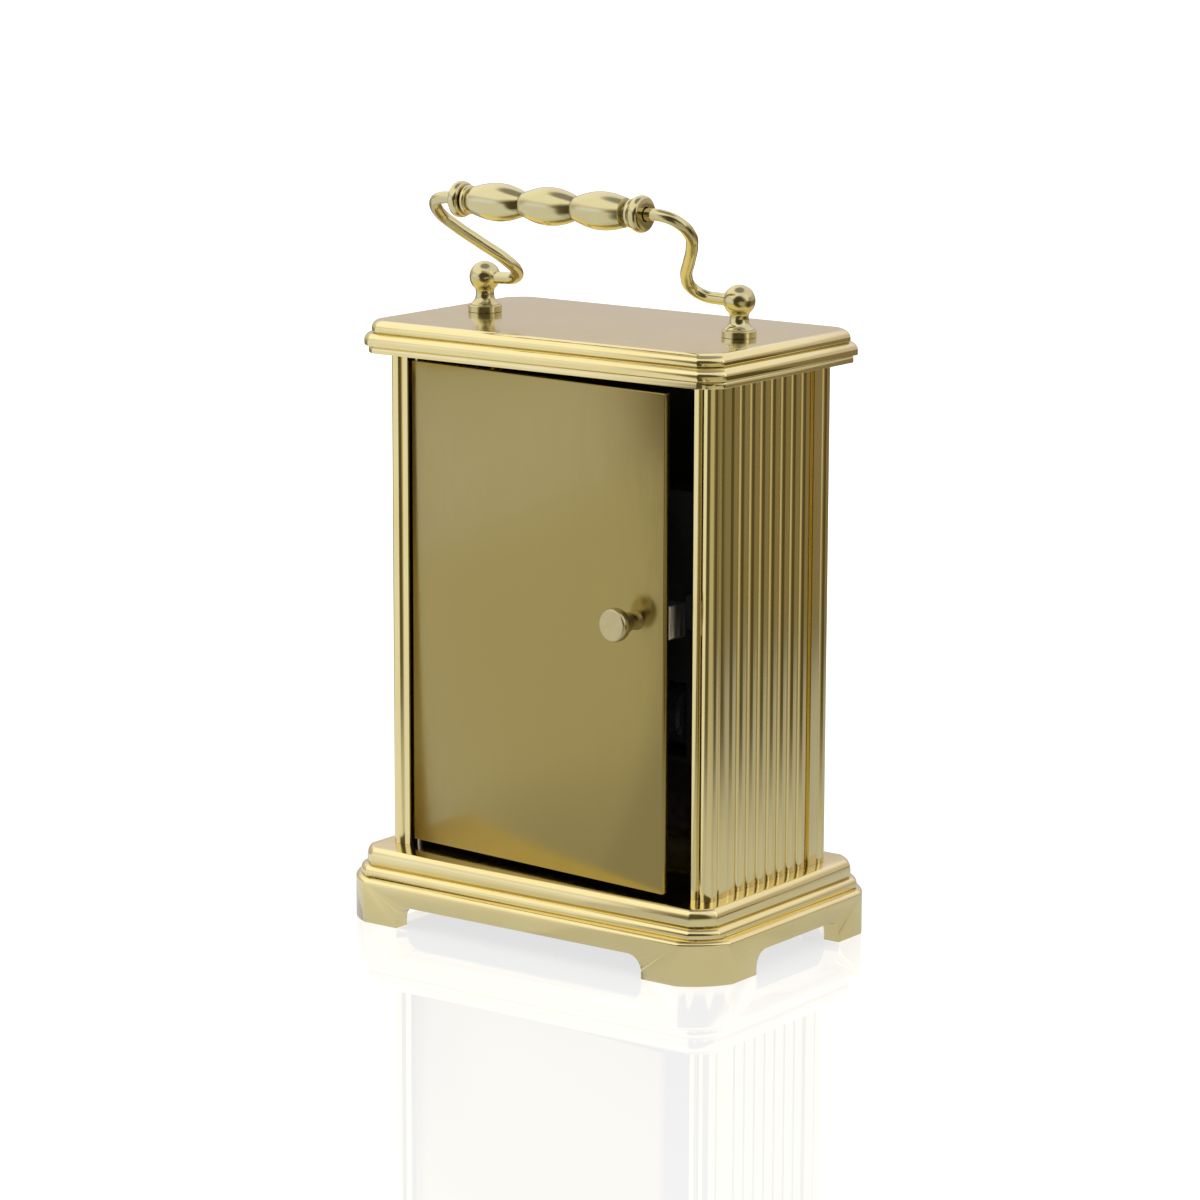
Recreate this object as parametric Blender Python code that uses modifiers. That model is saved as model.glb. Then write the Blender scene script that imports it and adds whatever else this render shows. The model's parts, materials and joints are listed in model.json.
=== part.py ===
"""Brass mantel clock of the carriage type, with a quartz movement.

The clock stands on the ground plane, +Z up.  The dial faces -Y and the door is
on the +Y side, hung on its +X edge and standing slightly ajar.  Dimensions are
in millimetres and become metres where a mesh is made.
"""
import math

import bmesh
import bpy
from mathutils import Matrix, Vector

MM = 0.001
GAP = 0.3                       # between pieces that touch
RUN = 0.2                       # between a turning piece and its bearing

# Case
PLINTH_HALF = (48.2, 31.5)
BASE_TOP = 15.0
CORNICE_BOTTOM = 119.5
CORNICE_TOP = 126.2
CORNICE_HALF = (42.6, 24.6)     # flat top, inside its mouldings
CASE_HALF = (41.0, 21.3)
POST_SIZE = (4.8, 6.5)
COLUMN_RADIUS = 1.93
OPENING_HALF = CASE_HALF[0] - POST_SIZE[0]
REEDS = 8
FOOT_INNER = (31.5, 15.0)
ARCH_HEIGHT = 4.8
POCKET_HALF = (44.6, 27.9)      # hollow under the base
POCKET_CANT = 9.0
MOULDING_SOFTNESS = 0.35        # how far the corner cants bulge, 0 flat to 1 round

# Handle
PIVOT_X = 32.2
PIVOT_Z = 133.5
BALL_RADIUS = 3.25
ROD_RADIUS = 1.25
GRIP_HEIGHT = 27.3
HANDLE_LEAN = 47.5              # degrees towards the door side

# Door
DOOR_SIZE = (68.5, 1.6, 101.5)
DOOR_BOTTOM = 16.3
DOOR_EDGE_X = OPENING_HALF - 0.5
DOOR_FACE_Y = 20.2
DOOR_AJAR = 4.7                 # degrees
HINGE_INSET = 0.9
HINGE_X = DOOR_EDGE_X - HINGE_INSET
HINGE_Y = DOOR_FACE_Y - DOOR_SIZE[1] / 2
KNOB_FROM_EDGE = 61.3
KNOB_Z = 71.6

# Front and dial
FRONT_WINDOW = (30.0, 24.0, 111.0)      # half width, bottom, top
DIAL_Z = 67.5
FRONT_Y = -20.9
GLASS_Y = -19.0
SPACER_Y = -16.9
DIAL_Y = -10.2
PLATE_Y = -9.1

# Movement
MOVEMENT_HALF = 28.0
COVER_Y = -7.8
SHELL_Y = -6.0
SHELL_BACK_Y = 9.6
SHELL_WALL = 1.2
BAY = (40.7, 56.2)              # battery bay, bottom and top
MOTION_PITCH = 8.5              # distance between the motion-work axes
MINUTE_ANGLE = 60.0             # hands at ten past ten
HOUR_ANGLE = 305.0


# ---------------------------------------------------------------- scene set-up
def clear_scene():
    for item in list(bpy.data.objects):
        bpy.data.objects.remove(item, do_unlink=True)


def make_collection(name):
    collection = bpy.data.collections.new(name)
    bpy.context.scene.collection.children.link(collection)
    return collection


def make_material(name, colour, roughness, metallic, transmission=0.0):
    material = bpy.data.materials.new(name)
    material.use_nodes = True
    shader = material.node_tree.nodes["Principled BSDF"]
    shader.inputs["Base Color"].default_value = (*colour, 1.0)
    shader.inputs["Roughness"].default_value = roughness
    shader.inputs["Metallic"].default_value = metallic
    shader.inputs["Transmission Weight"].default_value = transmission
    return material


clear_scene()
PARTS = make_collection("mantel_clock")
CUTTERS = make_collection("cutters")

BRASS = make_material("polished_brass", (0.80, 0.66, 0.33), 0.18, 1.0)
DOOR_BRASS = make_material("door_brass", (0.62, 0.53, 0.25), 0.32, 1.0)
STEEL = make_material("nickel_steel", (0.55, 0.53, 0.52), 0.30, 1.0)
MAGNET = make_material("magnet", (0.18, 0.18, 0.19), 0.45, 0.6)
BLACK_PLASTIC = make_material("black_plastic", (0.02, 0.02, 0.02), 0.45, 0.0)
WHITE_PLASTIC = make_material("white_plastic", (0.80, 0.79, 0.75), 0.40, 0.0)
DIAL_WHITE = make_material("dial_white", (0.90, 0.89, 0.84), 0.35, 0.0)
BLACK_PAINT = make_material("black_paint", (0.02, 0.02, 0.02), 0.50, 0.0)
HAND_BLACK = make_material("hand_black", (0.02, 0.02, 0.03), 0.30, 0.3)
GLASS = make_material("glass", (0.95, 0.97, 0.96), 0.02, 0.0, 1.0)
COPPER = make_material("copper_wire", (0.60, 0.25, 0.12), 0.35, 1.0)
BOARD = make_material("circuit_board", (0.10, 0.22, 0.10), 0.50, 0.0)
BATTERY = make_material("battery_wrap", (0.04, 0.04, 0.05), 0.35, 0.2)
FELT = make_material("black_felt", (0.03, 0.03, 0.03), 0.95, 0.0)


# ------------------------------------------------------------- shape functions
def add_object(name, data, material, place=None, parent=None, collection=None):
    item = bpy.data.objects.new(name, data)
    (collection or PARTS).objects.link(item)
    if material:
        data.materials.append(material)
    item.parent = parent
    item.matrix_local = place or Matrix.Identity(4)
    return item


def mesh_from(bm, name, smooth_angle=None):
    bmesh.ops.recalc_face_normals(bm, faces=bm.faces)
    mesh = bpy.data.meshes.new(name)
    bm.to_mesh(mesh)
    bm.free()
    if smooth_angle:
        mesh.shade_smooth()
        mesh.set_sharp_from_angle(angle=math.radians(smooth_angle))
    return mesh


def at(x, y, z, axis="Z", turn=0.0):
    """Place with local Z along a world axis, first turned about that local Z."""
    tilt = {
        "Z": Matrix.Identity(4),
        "X": Matrix.Rotation(math.radians(90), 4, "Y"),
        "Y": Matrix.Rotation(math.radians(-90), 4, "X"),
        "-Y": Matrix.Rotation(math.radians(90), 4, "X"),
    }[axis]
    spin = Matrix.Rotation(math.radians(turn), 4, "Z")
    return Matrix.Translation(Vector((x, y, z)) * MM) @ tilt @ spin


def box(name, low, high, material, parent=None, bevel=0.0, collection=None):
    bm = bmesh.new()
    bmesh.ops.create_cube(bm, size=1.0)
    for vert in bm.verts:
        for i in range(3):
            middle, size = (low[i] + high[i]) / 2, high[i] - low[i]
            vert.co[i] = (middle + vert.co[i] * size) * MM
    item = add_object(name, mesh_from(bm, name), material, None, parent, collection)
    if bevel:
        soften(item, bevel)
    return item


def soften(item, width, segments=2, angle=35):
    edge = item.modifiers.new("rounded edges", "BEVEL")
    edge.width = width * MM
    edge.segments = segments
    edge.limit_method = "ANGLE"
    edge.angle_limit = math.radians(angle)


def turned(name, profile, material, place, parent=None, steps=24, closed=False, collection=None):
    """Turn a profile of (radius, height) points, listed from top to bottom."""
    bm = bmesh.new()
    verts = [bm.verts.new((r * MM, 0.0, h * MM)) for r, h in profile]
    for first, second in zip(verts, verts[1:]):
        bm.edges.new((first, second))
    if closed:
        bm.edges.new((verts[-1], verts[0]))
    mesh = bpy.data.meshes.new(name)
    bm.to_mesh(mesh)
    bm.free()
    item = add_object(name, mesh, material, place, parent, collection)
    screw = item.modifiers.new("turned", "SCREW")
    screw.axis = "Z"
    screw.angle = math.tau
    screw.steps = steps
    screw.render_steps = steps
    screw.use_merge_vertices = True
    screw.merge_threshold = 0.00001
    screw.use_smooth_shade = True
    return item


def rod(name, radius, bottom, top, material, place, parent=None, steps=16, collection=None):
    profile = [(0, top), (radius, top), (radius, bottom), (0, bottom)]
    return turned(name, profile, material, place, parent, steps, collection=collection)


def ring(name, inner, outer, bottom, top, material, place, parent=None, steps=24):
    profile = [(outer, top), (outer, bottom), (inner, bottom), (inner, top)]
    return turned(name, profile, material, place, parent, steps, closed=True)


def outline(name, loops, bottom, top, material, place=None, parent=None):
    """Extrude a flat outline (first loop) with its holes (other loops) along local Z."""
    curve = bpy.data.curves.new(name, "CURVE")
    curve.dimensions = "2D"
    curve.fill_mode = "BOTH"
    curve.extrude = (top - bottom) / 2 * MM
    for loop in loops:
        spline = curve.splines.new("POLY")
        spline.points.add(len(loop) - 1)
        for point, (x, y) in zip(spline.points, loop):
            point.co = (x * MM, y * MM, 0.0, 1.0)
        spline.use_cyclic_u = True
    middle = Matrix.Translation((0, 0, (top + bottom) / 2 * MM))
    return to_mesh(add_object(name, curve, None, (place or Matrix.Identity(4)) @ middle, parent), material)


def to_mesh(item, material):
    """Turn a curve object into a welded mesh object of the same name and place."""
    bpy.context.view_layer.update()
    evaluated = item.evaluated_get(bpy.context.evaluated_depsgraph_get())
    mesh = bpy.data.meshes.new_from_object(evaluated)
    name, place, parent = item.name, item.matrix_local.copy(), item.parent
    bpy.data.objects.remove(item, do_unlink=True)
    bm = bmesh.new()
    bm.from_mesh(mesh)
    bmesh.ops.remove_doubles(bm, verts=bm.verts, dist=1e-6)
    bmesh.ops.recalc_face_normals(bm, faces=bm.faces)
    bm.to_mesh(mesh)
    bm.free()
    mesh.materials.clear()
    mesh.name = name
    return add_object(name, mesh, material, place, parent)


def circle(radius, count=24, centre=(0, 0), start=0.0):
    step = math.tau / count
    return [(centre[0] + radius * math.cos(start + i * step),
             centre[1] + radius * math.sin(start + i * step)) for i in range(count)]


def arc(centre, radius, start, end, count):
    """Points along an arc, angles in degrees, both ends included."""
    angles = [math.radians(start + (end - start) * i / count) for i in range(count + 1)]
    return [(centre[0] + radius * math.cos(a), centre[1] + radius * math.sin(a)) for a in angles]


def rectangle(half_x, low, high):
    return [(-half_x, low), (half_x, low), (half_x, high), (-half_x, high)]


def boolean(item, other, operation):
    change = item.modifiers.new(operation.lower(), "BOOLEAN")
    change.operation = operation
    change.solver = "EXACT"
    change.object = other


def cutter(item):
    item.hide_render = True
    item.display_type = "WIRE"
    return item


def cut(item, *tools):
    for tool in tools:
        boolean(item, cutter(tool), "DIFFERENCE")


def cut_box(name, low, high):
    return box(name, low, high, None, collection=CUTTERS)


def cut_outline(name, loop, bottom, top, place=None):
    item = outline(name, [loop], bottom, top, None, place)
    PARTS.objects.unlink(item)
    CUTTERS.objects.link(item)
    return item


def cut_rod(name, radius, bottom, top, place, steps=16):
    return rod(name, radius, bottom, top, None, place, steps=steps, collection=CUTTERS)


def empty(name, place):
    item = bpy.data.objects.new(name, None)
    PARTS.objects.link(item)
    item.matrix_local = place
    return item


# -------------------------------------------------------- moulded base and top
def canted_ring(half, leg, softness, z):
    """Rectangle with canted corners; softness 1 makes each cant a quarter round."""
    steps = 4
    ring_points = []
    for corner in range(4):
        sx, sy = ((1, 1), (-1, 1), (-1, -1), (1, -1))[corner]
        points = []
        for i in range(steps + 1):
            t = i / steps
            straight = Vector((half[0] - leg * t, half[1] - leg * (1 - t)))
            a = t * math.pi / 2
            round_in = Vector((half[0] - leg + leg * math.cos(a), half[1] - leg + leg * math.sin(a)))
            point = straight.lerp(round_in, softness)
            points.append(Vector((sx * point.x, sy * point.y, z)) * MM)
        ring_points += points if corner % 2 == 0 else points[::-1]
    return ring_points


def loft(name, rings, material):
    bm = bmesh.new()
    loops = [[bm.verts.new(point) for point in ring_points] for ring_points in rings]
    for upper, lower in zip(loops, loops[1:]):
        for i in range(len(upper)):
            j = (i + 1) % len(upper)
            bm.faces.new((upper[i], upper[j], lower[j], lower[i]))
    bm.faces.new(loops[0])
    bm.faces.new(loops[-1])
    return add_object(name, mesh_from(bm, name, 30), material)


def round_over(start, end, count=4):
    """Quarter ellipse from a flat edge (start) out and down to a vertical face (end)."""
    points = []
    for i in range(count + 1):
        a = math.pi / 2 * i / count
        points.append((start[0] + (end[0] - start[0]) * math.sin(a),
                       end[1] + (start[1] - end[1]) * math.cos(a)))
    return points


def base_profile():
    """(outward from the flat top's edge, height), from the top down."""
    return (
        round_over((0.0, BASE_TOP), (1.2, 12.7))
        + [(1.2, 11.7), (0.9, 11.5)]
        + round_over((1.2, 11.3), (2.4, 10.0), 3)
        + [(2.4, 9.4), (2.2, 9.2)]
        + round_over((3.3, 9.2), (4.4, 8.3), 3)
        + [(4.4, 0.0)]
    )


def cornice_profile():
    """(outward from the flat top's edge, height), from the top down."""
    return (
        round_over((0.0, CORNICE_TOP), (1.7, 124.5))
        + [(1.7, 123.9), (1.3, 123.7)]
        + round_over((1.5, 123.6), (2.9, 122.0))
        + [(2.9, 121.1), (2.0, 120.9), (2.2, 120.6), (2.2, CORNICE_BOTTOM)]
    )


def tie_rod_places():
    x = CASE_HALF[0] - 2.9
    y = CASE_HALF[1] - 3.1
    return [(sx * x, sy * y) for sy in (1, -1) for sx in (1, -1)]


def build_base():
    edge = (PLINTH_HALF[0] - 4.4, PLINTH_HALF[1] - 4.4)
    rings = []
    for outward, z in base_profile():
        on_plinth = outward > 3.2
        leg = 8.2 if on_plinth else 3.7 + 0.5 * outward
        half = (edge[0] + outward, edge[1] + outward)
        rings.append(canted_ring(half, leg, 0.45 if on_plinth else MOULDING_SOFTNESS, z))
    base = loft("base_plinth", rings, BRASS)
    tools = [cut_outline("base_pocket", canted_loop(POCKET_HALF, POCKET_CANT), -1.0, BASE_TOP - 3.0)]
    along_y = at(0, 0, 0, "-Y")
    along_x = Matrix.Rotation(math.radians(90), 4, "Z") @ along_y
    tools.append(cut_outline("front_arch", arch_loop(FOOT_INNER[0]), -60.0, 60.0, along_y))
    tools.append(cut_outline("side_arch", arch_loop(FOOT_INNER[1]), -60.0, 60.0, along_x))
    for index, (x, y) in enumerate(tie_rod_places()):
        tools.append(cut_rod(f"base_hole_{index}", 1.25, 10.0, 16.0, at(x, y, 0), 12))
    tools.append(cut_rod("lower_pivot_hole", 0.75, 12.6, 16.0, at(HINGE_X, HINGE_Y, 0), 12))
    cut(base, *tools)
    inner = tuple(size - GAP for size in POCKET_HALF)
    outline("base_cover", [canted_loop(inner, POCKET_CANT)], ARCH_HEIGHT + 0.1, ARCH_HEIGHT + 1.1, FELT)


def canted_loop(half, leg):
    x, y = half
    corner = [(x, y - leg), (x - leg, y)]
    loop = []
    for sx, sy in ((1, 1), (-1, 1), (-1, -1), (1, -1)):
        points = [(sx * px, sy * py) for px, py in corner]
        loop += points if sx * sy > 0 else points[::-1]
    return loop


def arch_loop(half_gap):
    """Low opening between two feet: straight foot ends that round into a level top."""
    radius = 3.4
    spring = ARCH_HEIGHT - radius
    return ([(-half_gap, -1.0), (half_gap, -1.0)]
            + arc((half_gap - radius, spring), radius, 0, 90, 5)
            + arc((-half_gap + radius, spring), radius, 90, 180, 5))


def build_cornice():
    rings = []
    for outward, z in cornice_profile():
        half = (CORNICE_HALF[0] + outward, CORNICE_HALF[1] + outward)
        rings.append(canted_ring(half, 3.7 + 0.2 * outward, MOULDING_SOFTNESS, z))
    cornice = loft("cornice", rings, BRASS)
    tools = [cut_box("cornice_pocket", (-37.0, -14.3, 118.0), (37.0, 14.3, 123.2))]
    for index, side in enumerate((-1, 1)):
        tools.append(cut_rod(f"post_hole_{index}", 1.8, 120.0, 128.0, at(side * PIVOT_X, 0, 0), 16))
    for index, (x, y) in enumerate(tie_rod_places()):
        tools.append(cut_rod(f"cornice_hole_{index}", 1.25, 118.0, 123.4, at(x, y, 0), 12))
    tools.append(cut_rod("upper_pivot_hole", 0.75, 118.0, 122.0, at(HINGE_X, HINGE_Y, 0), 12))
    cut(cornice, *tools)


# --------------------------------------------------------------- case carcass
def post_outline():
    """Section of a corner post, as distances inward from the case's corner."""
    width, depth = POST_SIZE
    column = arc((COLUMN_RADIUS, COLUMN_RADIUS), COLUMN_RADIUS, 315, 135, 10)
    back_face = [(width, 0.3), (3.7, 0.3), (3.5, 0.6)]
    side_face = [(0.6, 3.5), (0.3, 3.7), (0.3, depth), (2.0, depth), (2.0, 5.1), (2.9, 5.1)]
    return back_face + column + side_face + [(2.9, depth), (width, depth)]


def build_posts():
    places = {
        "post_back_right": (1, 1), "post_back_left": (-1, 1),
        "post_front_right": (1, -1), "post_front_left": (-1, -1),
    }
    for name, (sx, sy) in places.items():
        section = [(sx * (CASE_HALF[0] - u), sy * (CASE_HALF[1] - v)) for u, v in post_outline()]
        bore = circle(1.25, 12, (sx * (CASE_HALF[0] - 2.9), sy * (CASE_HALF[1] - 3.1)))
        outline(name, [section, bore], BASE_TOP + GAP, CORNICE_BOTTOM - GAP, BRASS)


def panel_outline(side):
    """Section of a reeded side panel with a thin tongue along each edge."""
    half = CASE_HALF[1] - POST_SIZE[1] - 0.2
    pitch = 2 * half / REEDS
    groove, crest, inner = 39.65, 0.85, 38.25
    outer = []
    for i in range(REEDS):
        middle = -half + pitch * (i + 0.5)
        chord = pitch - 0.36
        for k in range(6):
            t = -1 + 2 * k / 5
            outer.append((groove + crest * math.sqrt(1 - 0.985 * t * t), middle + chord / 2 * t))
    tongue = half + 1.3
    inside = [(groove, half), (38.85, half), (38.85, tongue), (inner, tongue)]
    inside += [(inner, -tongue), (38.85, -tongue), (38.85, -half), (groove, -half)]
    return [(side * x, y) for x, y in outer + inside]


def build_panels():
    for name, side in (("side_panel_right", 1), ("side_panel_left", -1)):
        outline(name, [panel_outline(side)], BASE_TOP + GAP, CORNICE_BOTTOM - GAP, BRASS)


def build_tie_rods():
    names = ("tie_rod_back_right", "tie_rod_back_left", "tie_rod_front_right", "tie_rod_front_left")
    for name, (x, y) in zip(names, tie_rod_places()):
        profile = [(0, 123.0), (1.0, 123.0), (1.0, 11.7), (2.2, 11.7), (2.2, 10.3), (0, 10.3)]
        turned(name, profile, STEEL, at(x, y, 0), steps=12)


# ------------------------------------------------------------------ front side
def build_front():
    half, low, high = FRONT_WINDOW
    lay = at(0, 0, 0, "-Y")             # local x, y, z run along +X, +Z, -Y
    frame = outline(
        "front_frame",
        [rectangle(OPENING_HALF - GAP, BASE_TOP + GAP, CORNICE_BOTTOM - GAP), rectangle(half, low, high)],
        -FRONT_Y - 1.6, -FRONT_Y, BRASS, lay)
    soften(frame, 0.5)
    glass = box("front_glass", (-half - 1.5, GLASS_Y, low - 1.5), (half + 1.5, GLASS_Y + 1.8, high + 1.5),
                GLASS)
    soften(glass, 0.4, 1)
    outline("dial_spacer", [rectangle(34.0, 20.0, 115.0), rectangle(half - 0.5, low + 0.5, high - 0.5)],
            -DIAL_Y + GAP, -SPACER_Y, BRASS, lay)
    holed_sheet = [rectangle(34.0, 20.0, 115.0), circle(4.4, 24, (0, DIAL_Z))]
    outline("dial_plate", holed_sheet, -DIAL_Y - 0.8, -DIAL_Y, DIAL_WHITE, lay)
    outline("mounting_plate", holed_sheet, -PLATE_Y - 1.0, -PLATE_Y, BLACK_PAINT, lay)
    for name, side in (("dial_retainer_right", 1), ("dial_retainer_left", -1)):
        angle = [(35.9, -15.5), (35.9, -7.0), (31.0, -7.0), (31.0, -7.8), (35.1, -7.8), (35.1, -15.5)]
        outline(name, [[(side * x, y) for x, y in angle]], 26.0, 109.0, BLACK_PAINT)


# -------------------------------------------------------------------- movement
def gear_loop(teeth, module, turn=0.0):
    """Outline of a small wheel: trapezoid teeth, slim enough to run with backlash."""
    pitch = teeth * module / 2
    root, tip = pitch - 1.15 * module, pitch + 0.85 * module
    step = math.tau / teeth
    points = []
    for i in range(teeth):
        middle = i * step + turn
        for radius, offset in ((root, -0.24), (tip, -0.10), (tip, 0.10), (root, 0.24)):
            a = middle + offset * step
            points.append((radius * math.cos(a), radius * math.sin(a)))
    return points


def join(item, *others):
    """Boolean union of several solids into the first, applied at once."""
    for other in others:
        boolean(item, other, "UNION")
    bpy.context.view_layer.update()
    evaluated = item.evaluated_get(bpy.context.evaluated_depsgraph_get())
    mesh = bpy.data.meshes.new_from_object(evaluated)
    item.modifiers.clear()
    item.data = mesh
    for other in others:
        bpy.data.objects.remove(other, do_unlink=True)
    return item


def build_movement_case():
    low, high = DIAL_Z - MOVEMENT_HALF, DIAL_Z + MOVEMENT_HALF
    loops = [rectangle(MOVEMENT_HALF, low, high), circle(2.6, 20, (0, DIAL_Z))]
    plate = outline("movement_cover", loops, -COVER_Y - 1.5, -COVER_Y, BLACK_PLASTIC, at(0, 0, 0, "-Y"))
    bush = ring("bush", 2.6, 4.0, 6.6, 13.7, BLACK_PLASTIC, at(0, 0, DIAL_Z, "-Y"), steps=20)
    join(plate, bush)

    shell = box("movement_case", (-MOVEMENT_HALF, SHELL_Y, low), (MOVEMENT_HALF, SHELL_BACK_Y, high),
                BLACK_PLASTIC)
    inside = MOVEMENT_HALF - SHELL_WALL
    setting_z = DIAL_Z + 2 * MOTION_PITCH
    gear_space = cut_box("gear_space", (-inside, SHELL_Y - 1, BAY[1] + 1.3),
                         (inside, SHELL_BACK_Y - 1.2, high - SHELL_WALL))
    battery_bay = cut_box("battery_bay", (-inside, SHELL_Y + 1.1, BAY[0]),
                          (inside, SHELL_BACK_Y + 1, BAY[1]))
    cut(shell, gear_space, battery_bay,
        cut_rod("setting_hole", 1.4, 5.0, 12.0, at(0, 0, setting_z, "Y")))

    nut = [circle(6.9, 6, (0, DIAL_Z)), circle(4.25, 20, (0, DIAL_Z))]
    outline("fixing_nut", nut, -DIAL_Y + GAP, -DIAL_Y + 2.1, BRASS, at(0, 0, 0, "-Y"))


def build_power():
    middle = (BAY[0] + BAY[1]) / 2
    profile = [(0, 25.2), (2.6, 25.2), (2.6, 23.9), (6.6, 23.9), (7.15, 23.2), (7.15, -24.0),
               (6.6, -24.6), (0, -24.6)]
    turned("battery", profile, BATTERY, at(0, 2.4, middle, "X"), steps=24)
    box("battery_contact_plus", (25.6, -3.0, 43.0), (26.3, 7.0, 54.0), STEEL)
    box("battery_contact_minus", (-26.3, -3.0, 43.0), (-25.2, 7.0, 54.0), STEEL)
    board = box("circuit_board", (10.0, 5.0, 60.0), (26.3, 6.2, 92.0), BOARD)
    crystal = rod("crystal", 1.4, 62.0, 69.0, STEEL, at(20.0, 4.4, 0), steps=10)
    join(board, crystal)


def build_coil():
    profile = [(3.5, 5.6), (3.5, 4.9), (3.1, 4.9), (3.1, -4.9), (3.5, -4.9), (3.5, -5.6),
               (1.4, -5.6), (1.4, 5.6)]
    turned("coil", profile, COPPER, at(-20.4, 1.6, 62.4, "X"), steps=20, closed=True)
    rod("coil_core", 1.1, -6.0, 6.0, STEEL, at(-20.4, 1.6, 62.4, "X"), steps=12)
    stator = rectangle(4.7, -10.5, 5.2)
    outline("stator", [stator, circle(3.1, 20)], 2.6, 3.4, STEEL, at(-19.9, 0, 73.5, "-Y"))


def wheel(name, place, wheel_part, pinion_part, material=WHITE_PLASTIC, top=7.9, bottom=-5.6):
    """Arbor along +Y with a wheel and a pinion, each (radius, low, high)."""
    shaft = 0.5
    profile = [(0, top), (shaft, top)]
    for radius, low, high in sorted((wheel_part, pinion_part), key=lambda part: -part[2]):
        profile += [(shaft, high), (radius, high), (radius, low), (shaft, low)]
    profile += [(shaft, bottom), (0, bottom)]
    turned(name, profile, material, at(place[0], 0, place[1], "Y"), steps=16)


def beside(origin, distance, angle):
    a = math.radians(angle)
    return origin[0] + distance * math.cos(a), origin[1] + distance * math.sin(a)


def build_time_train():
    """Step-down train from the rotor to the centre wheel, laid out axis by axis."""
    centre = (0.0, DIAL_Z)
    third = beside(centre, 6.4 + 0.8 + GAP, 180)
    seconds = beside(third, 6.0 + 0.8 + GAP, 100)
    fifth = beside(seconds, 4.5 + 0.9 + GAP, 170)
    rotor = beside(fifth, 4.8 + 0.8 + GAP, 200)
    ring("centre_wheel", 1.1, 6.4, 5.2, 6.0, WHITE_PLASTIC, at(centre[0], 0, centre[1], "Y"), steps=20)
    wheel("third_wheel", third, (6.0, 3.4, 4.2), (0.8, 4.9, 6.3))
    wheel("seconds_wheel", seconds, (4.5, 1.6, 2.4), (0.8, 3.1, 4.5))
    wheel("fifth_wheel", fifth, (4.8, -0.2, 0.6), (0.9, 1.3, 2.7))
    wheel("rotor", rotor, (2.6, -4.5, -1.5), (0.8, -0.5, 0.9), MAGNET)


def toothed(name, wheels, shaft, material, place):
    """Union of toothed discs (teeth, module, low, high, turn) on a plain shaft."""
    body = rod(name, shaft[0], shaft[1], shaft[2], material, place, steps=16)
    discs = []
    for index, (teeth, module, low, high, turn) in enumerate(wheels):
        disc = outline(f"{name}_disc_{index}", [gear_loop(teeth, module, turn)], low, high,
                       material, place)
        discs.append(disc)
    return join(body, *discs)


def build_motion_work():
    """Cannon pinion, minute wheel, hour wheel and setting knob: 12:36 and 12:48."""
    minute_z = DIAL_Z + MOTION_PITCH
    setting_z = DIAL_Z + 2 * MOTION_PITCH
    up = math.pi / 2
    toothed("centre_arbor", [(12, 0.35, -4.4, -3.0, -up)], (0.85, -16.4, 8.1), STEEL, at(0, 0, DIAL_Z, "Y"))
    toothed("minute_wheel", [(36, 0.35, -4.4, -3.0, up + math.pi / 36), (12, 0.28, -6.0, -4.7, up)],
            (0.6, -6.0, 7.9), WHITE_PLASTIC, at(0, 0, minute_z, "Y"))
    hour = toothed("hour_wheel", [(48, 0.28, -5.9, -4.8, -up + math.pi / 48)], (2.35, -15.0, -4.8),
                   WHITE_PLASTIC, at(0, 0, DIAL_Z, "Y"))
    cut(hour, cut_rod("hour_bore", 1.15, -17.0, -3.0, at(0, 0, DIAL_Z, "Y")))
    knob = toothed("setting_knob", [(12, 0.35, -4.4, -3.0, up)], (1.1, -5.6, 10.5),
                   BLACK_PLASTIC, at(0, 0, setting_z, "Y"))
    cap = turned("knob_cap", [(0, 13.4), (4.1, 13.4), (4.5, 13.0), (4.5, 10.0), (0, 10.0)], None,
                 at(0, 0, setting_z, "Y"), steps=20)
    join(knob, cap)


def hand_outline(length, width, boss):
    """Leaf hand: round boss, slim stem and a pointed leaf, tip along local +Y."""
    stem = 0.42
    spread = math.degrees(math.asin(stem / boss))
    right = [(stem, length * 0.5), (width, length * 0.7), (0.35, length * 0.88)]
    left = [(-x, y) for x, y in right[::-1]]
    return right + [(0.0, length)] + left + arc((0, 0), boss, 90 + spread, 450 - spread, 16)


def build_hands():
    """(name, length, leaf half width, boss, bore, low, high, angle) for each hand."""
    sets = (
        ("hour_hand", 16.0, 1.9, 3.3, 2.5, 14.2, 14.7, HOUR_ANGLE),
        ("minute_hand", 23.5, 1.3, 2.2, 0.95, 15.4, 15.9, MINUTE_ANGLE),
    )
    for name, length, width, boss, bore, low, high, angle in sets:
        loops = [hand_outline(length, width, boss), circle(bore, 16)]
        outline(name, loops, low, high, HAND_BLACK, at(0, 0, DIAL_Z, "-Y", -angle))
    turned("hand_nut", [(0, 17.0), (0.9, 16.95), (1.5, 16.8), (1.5, 16.5), (0, 16.5)], BRASS,
           at(0, 0, DIAL_Z, "-Y"), steps=16)


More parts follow.
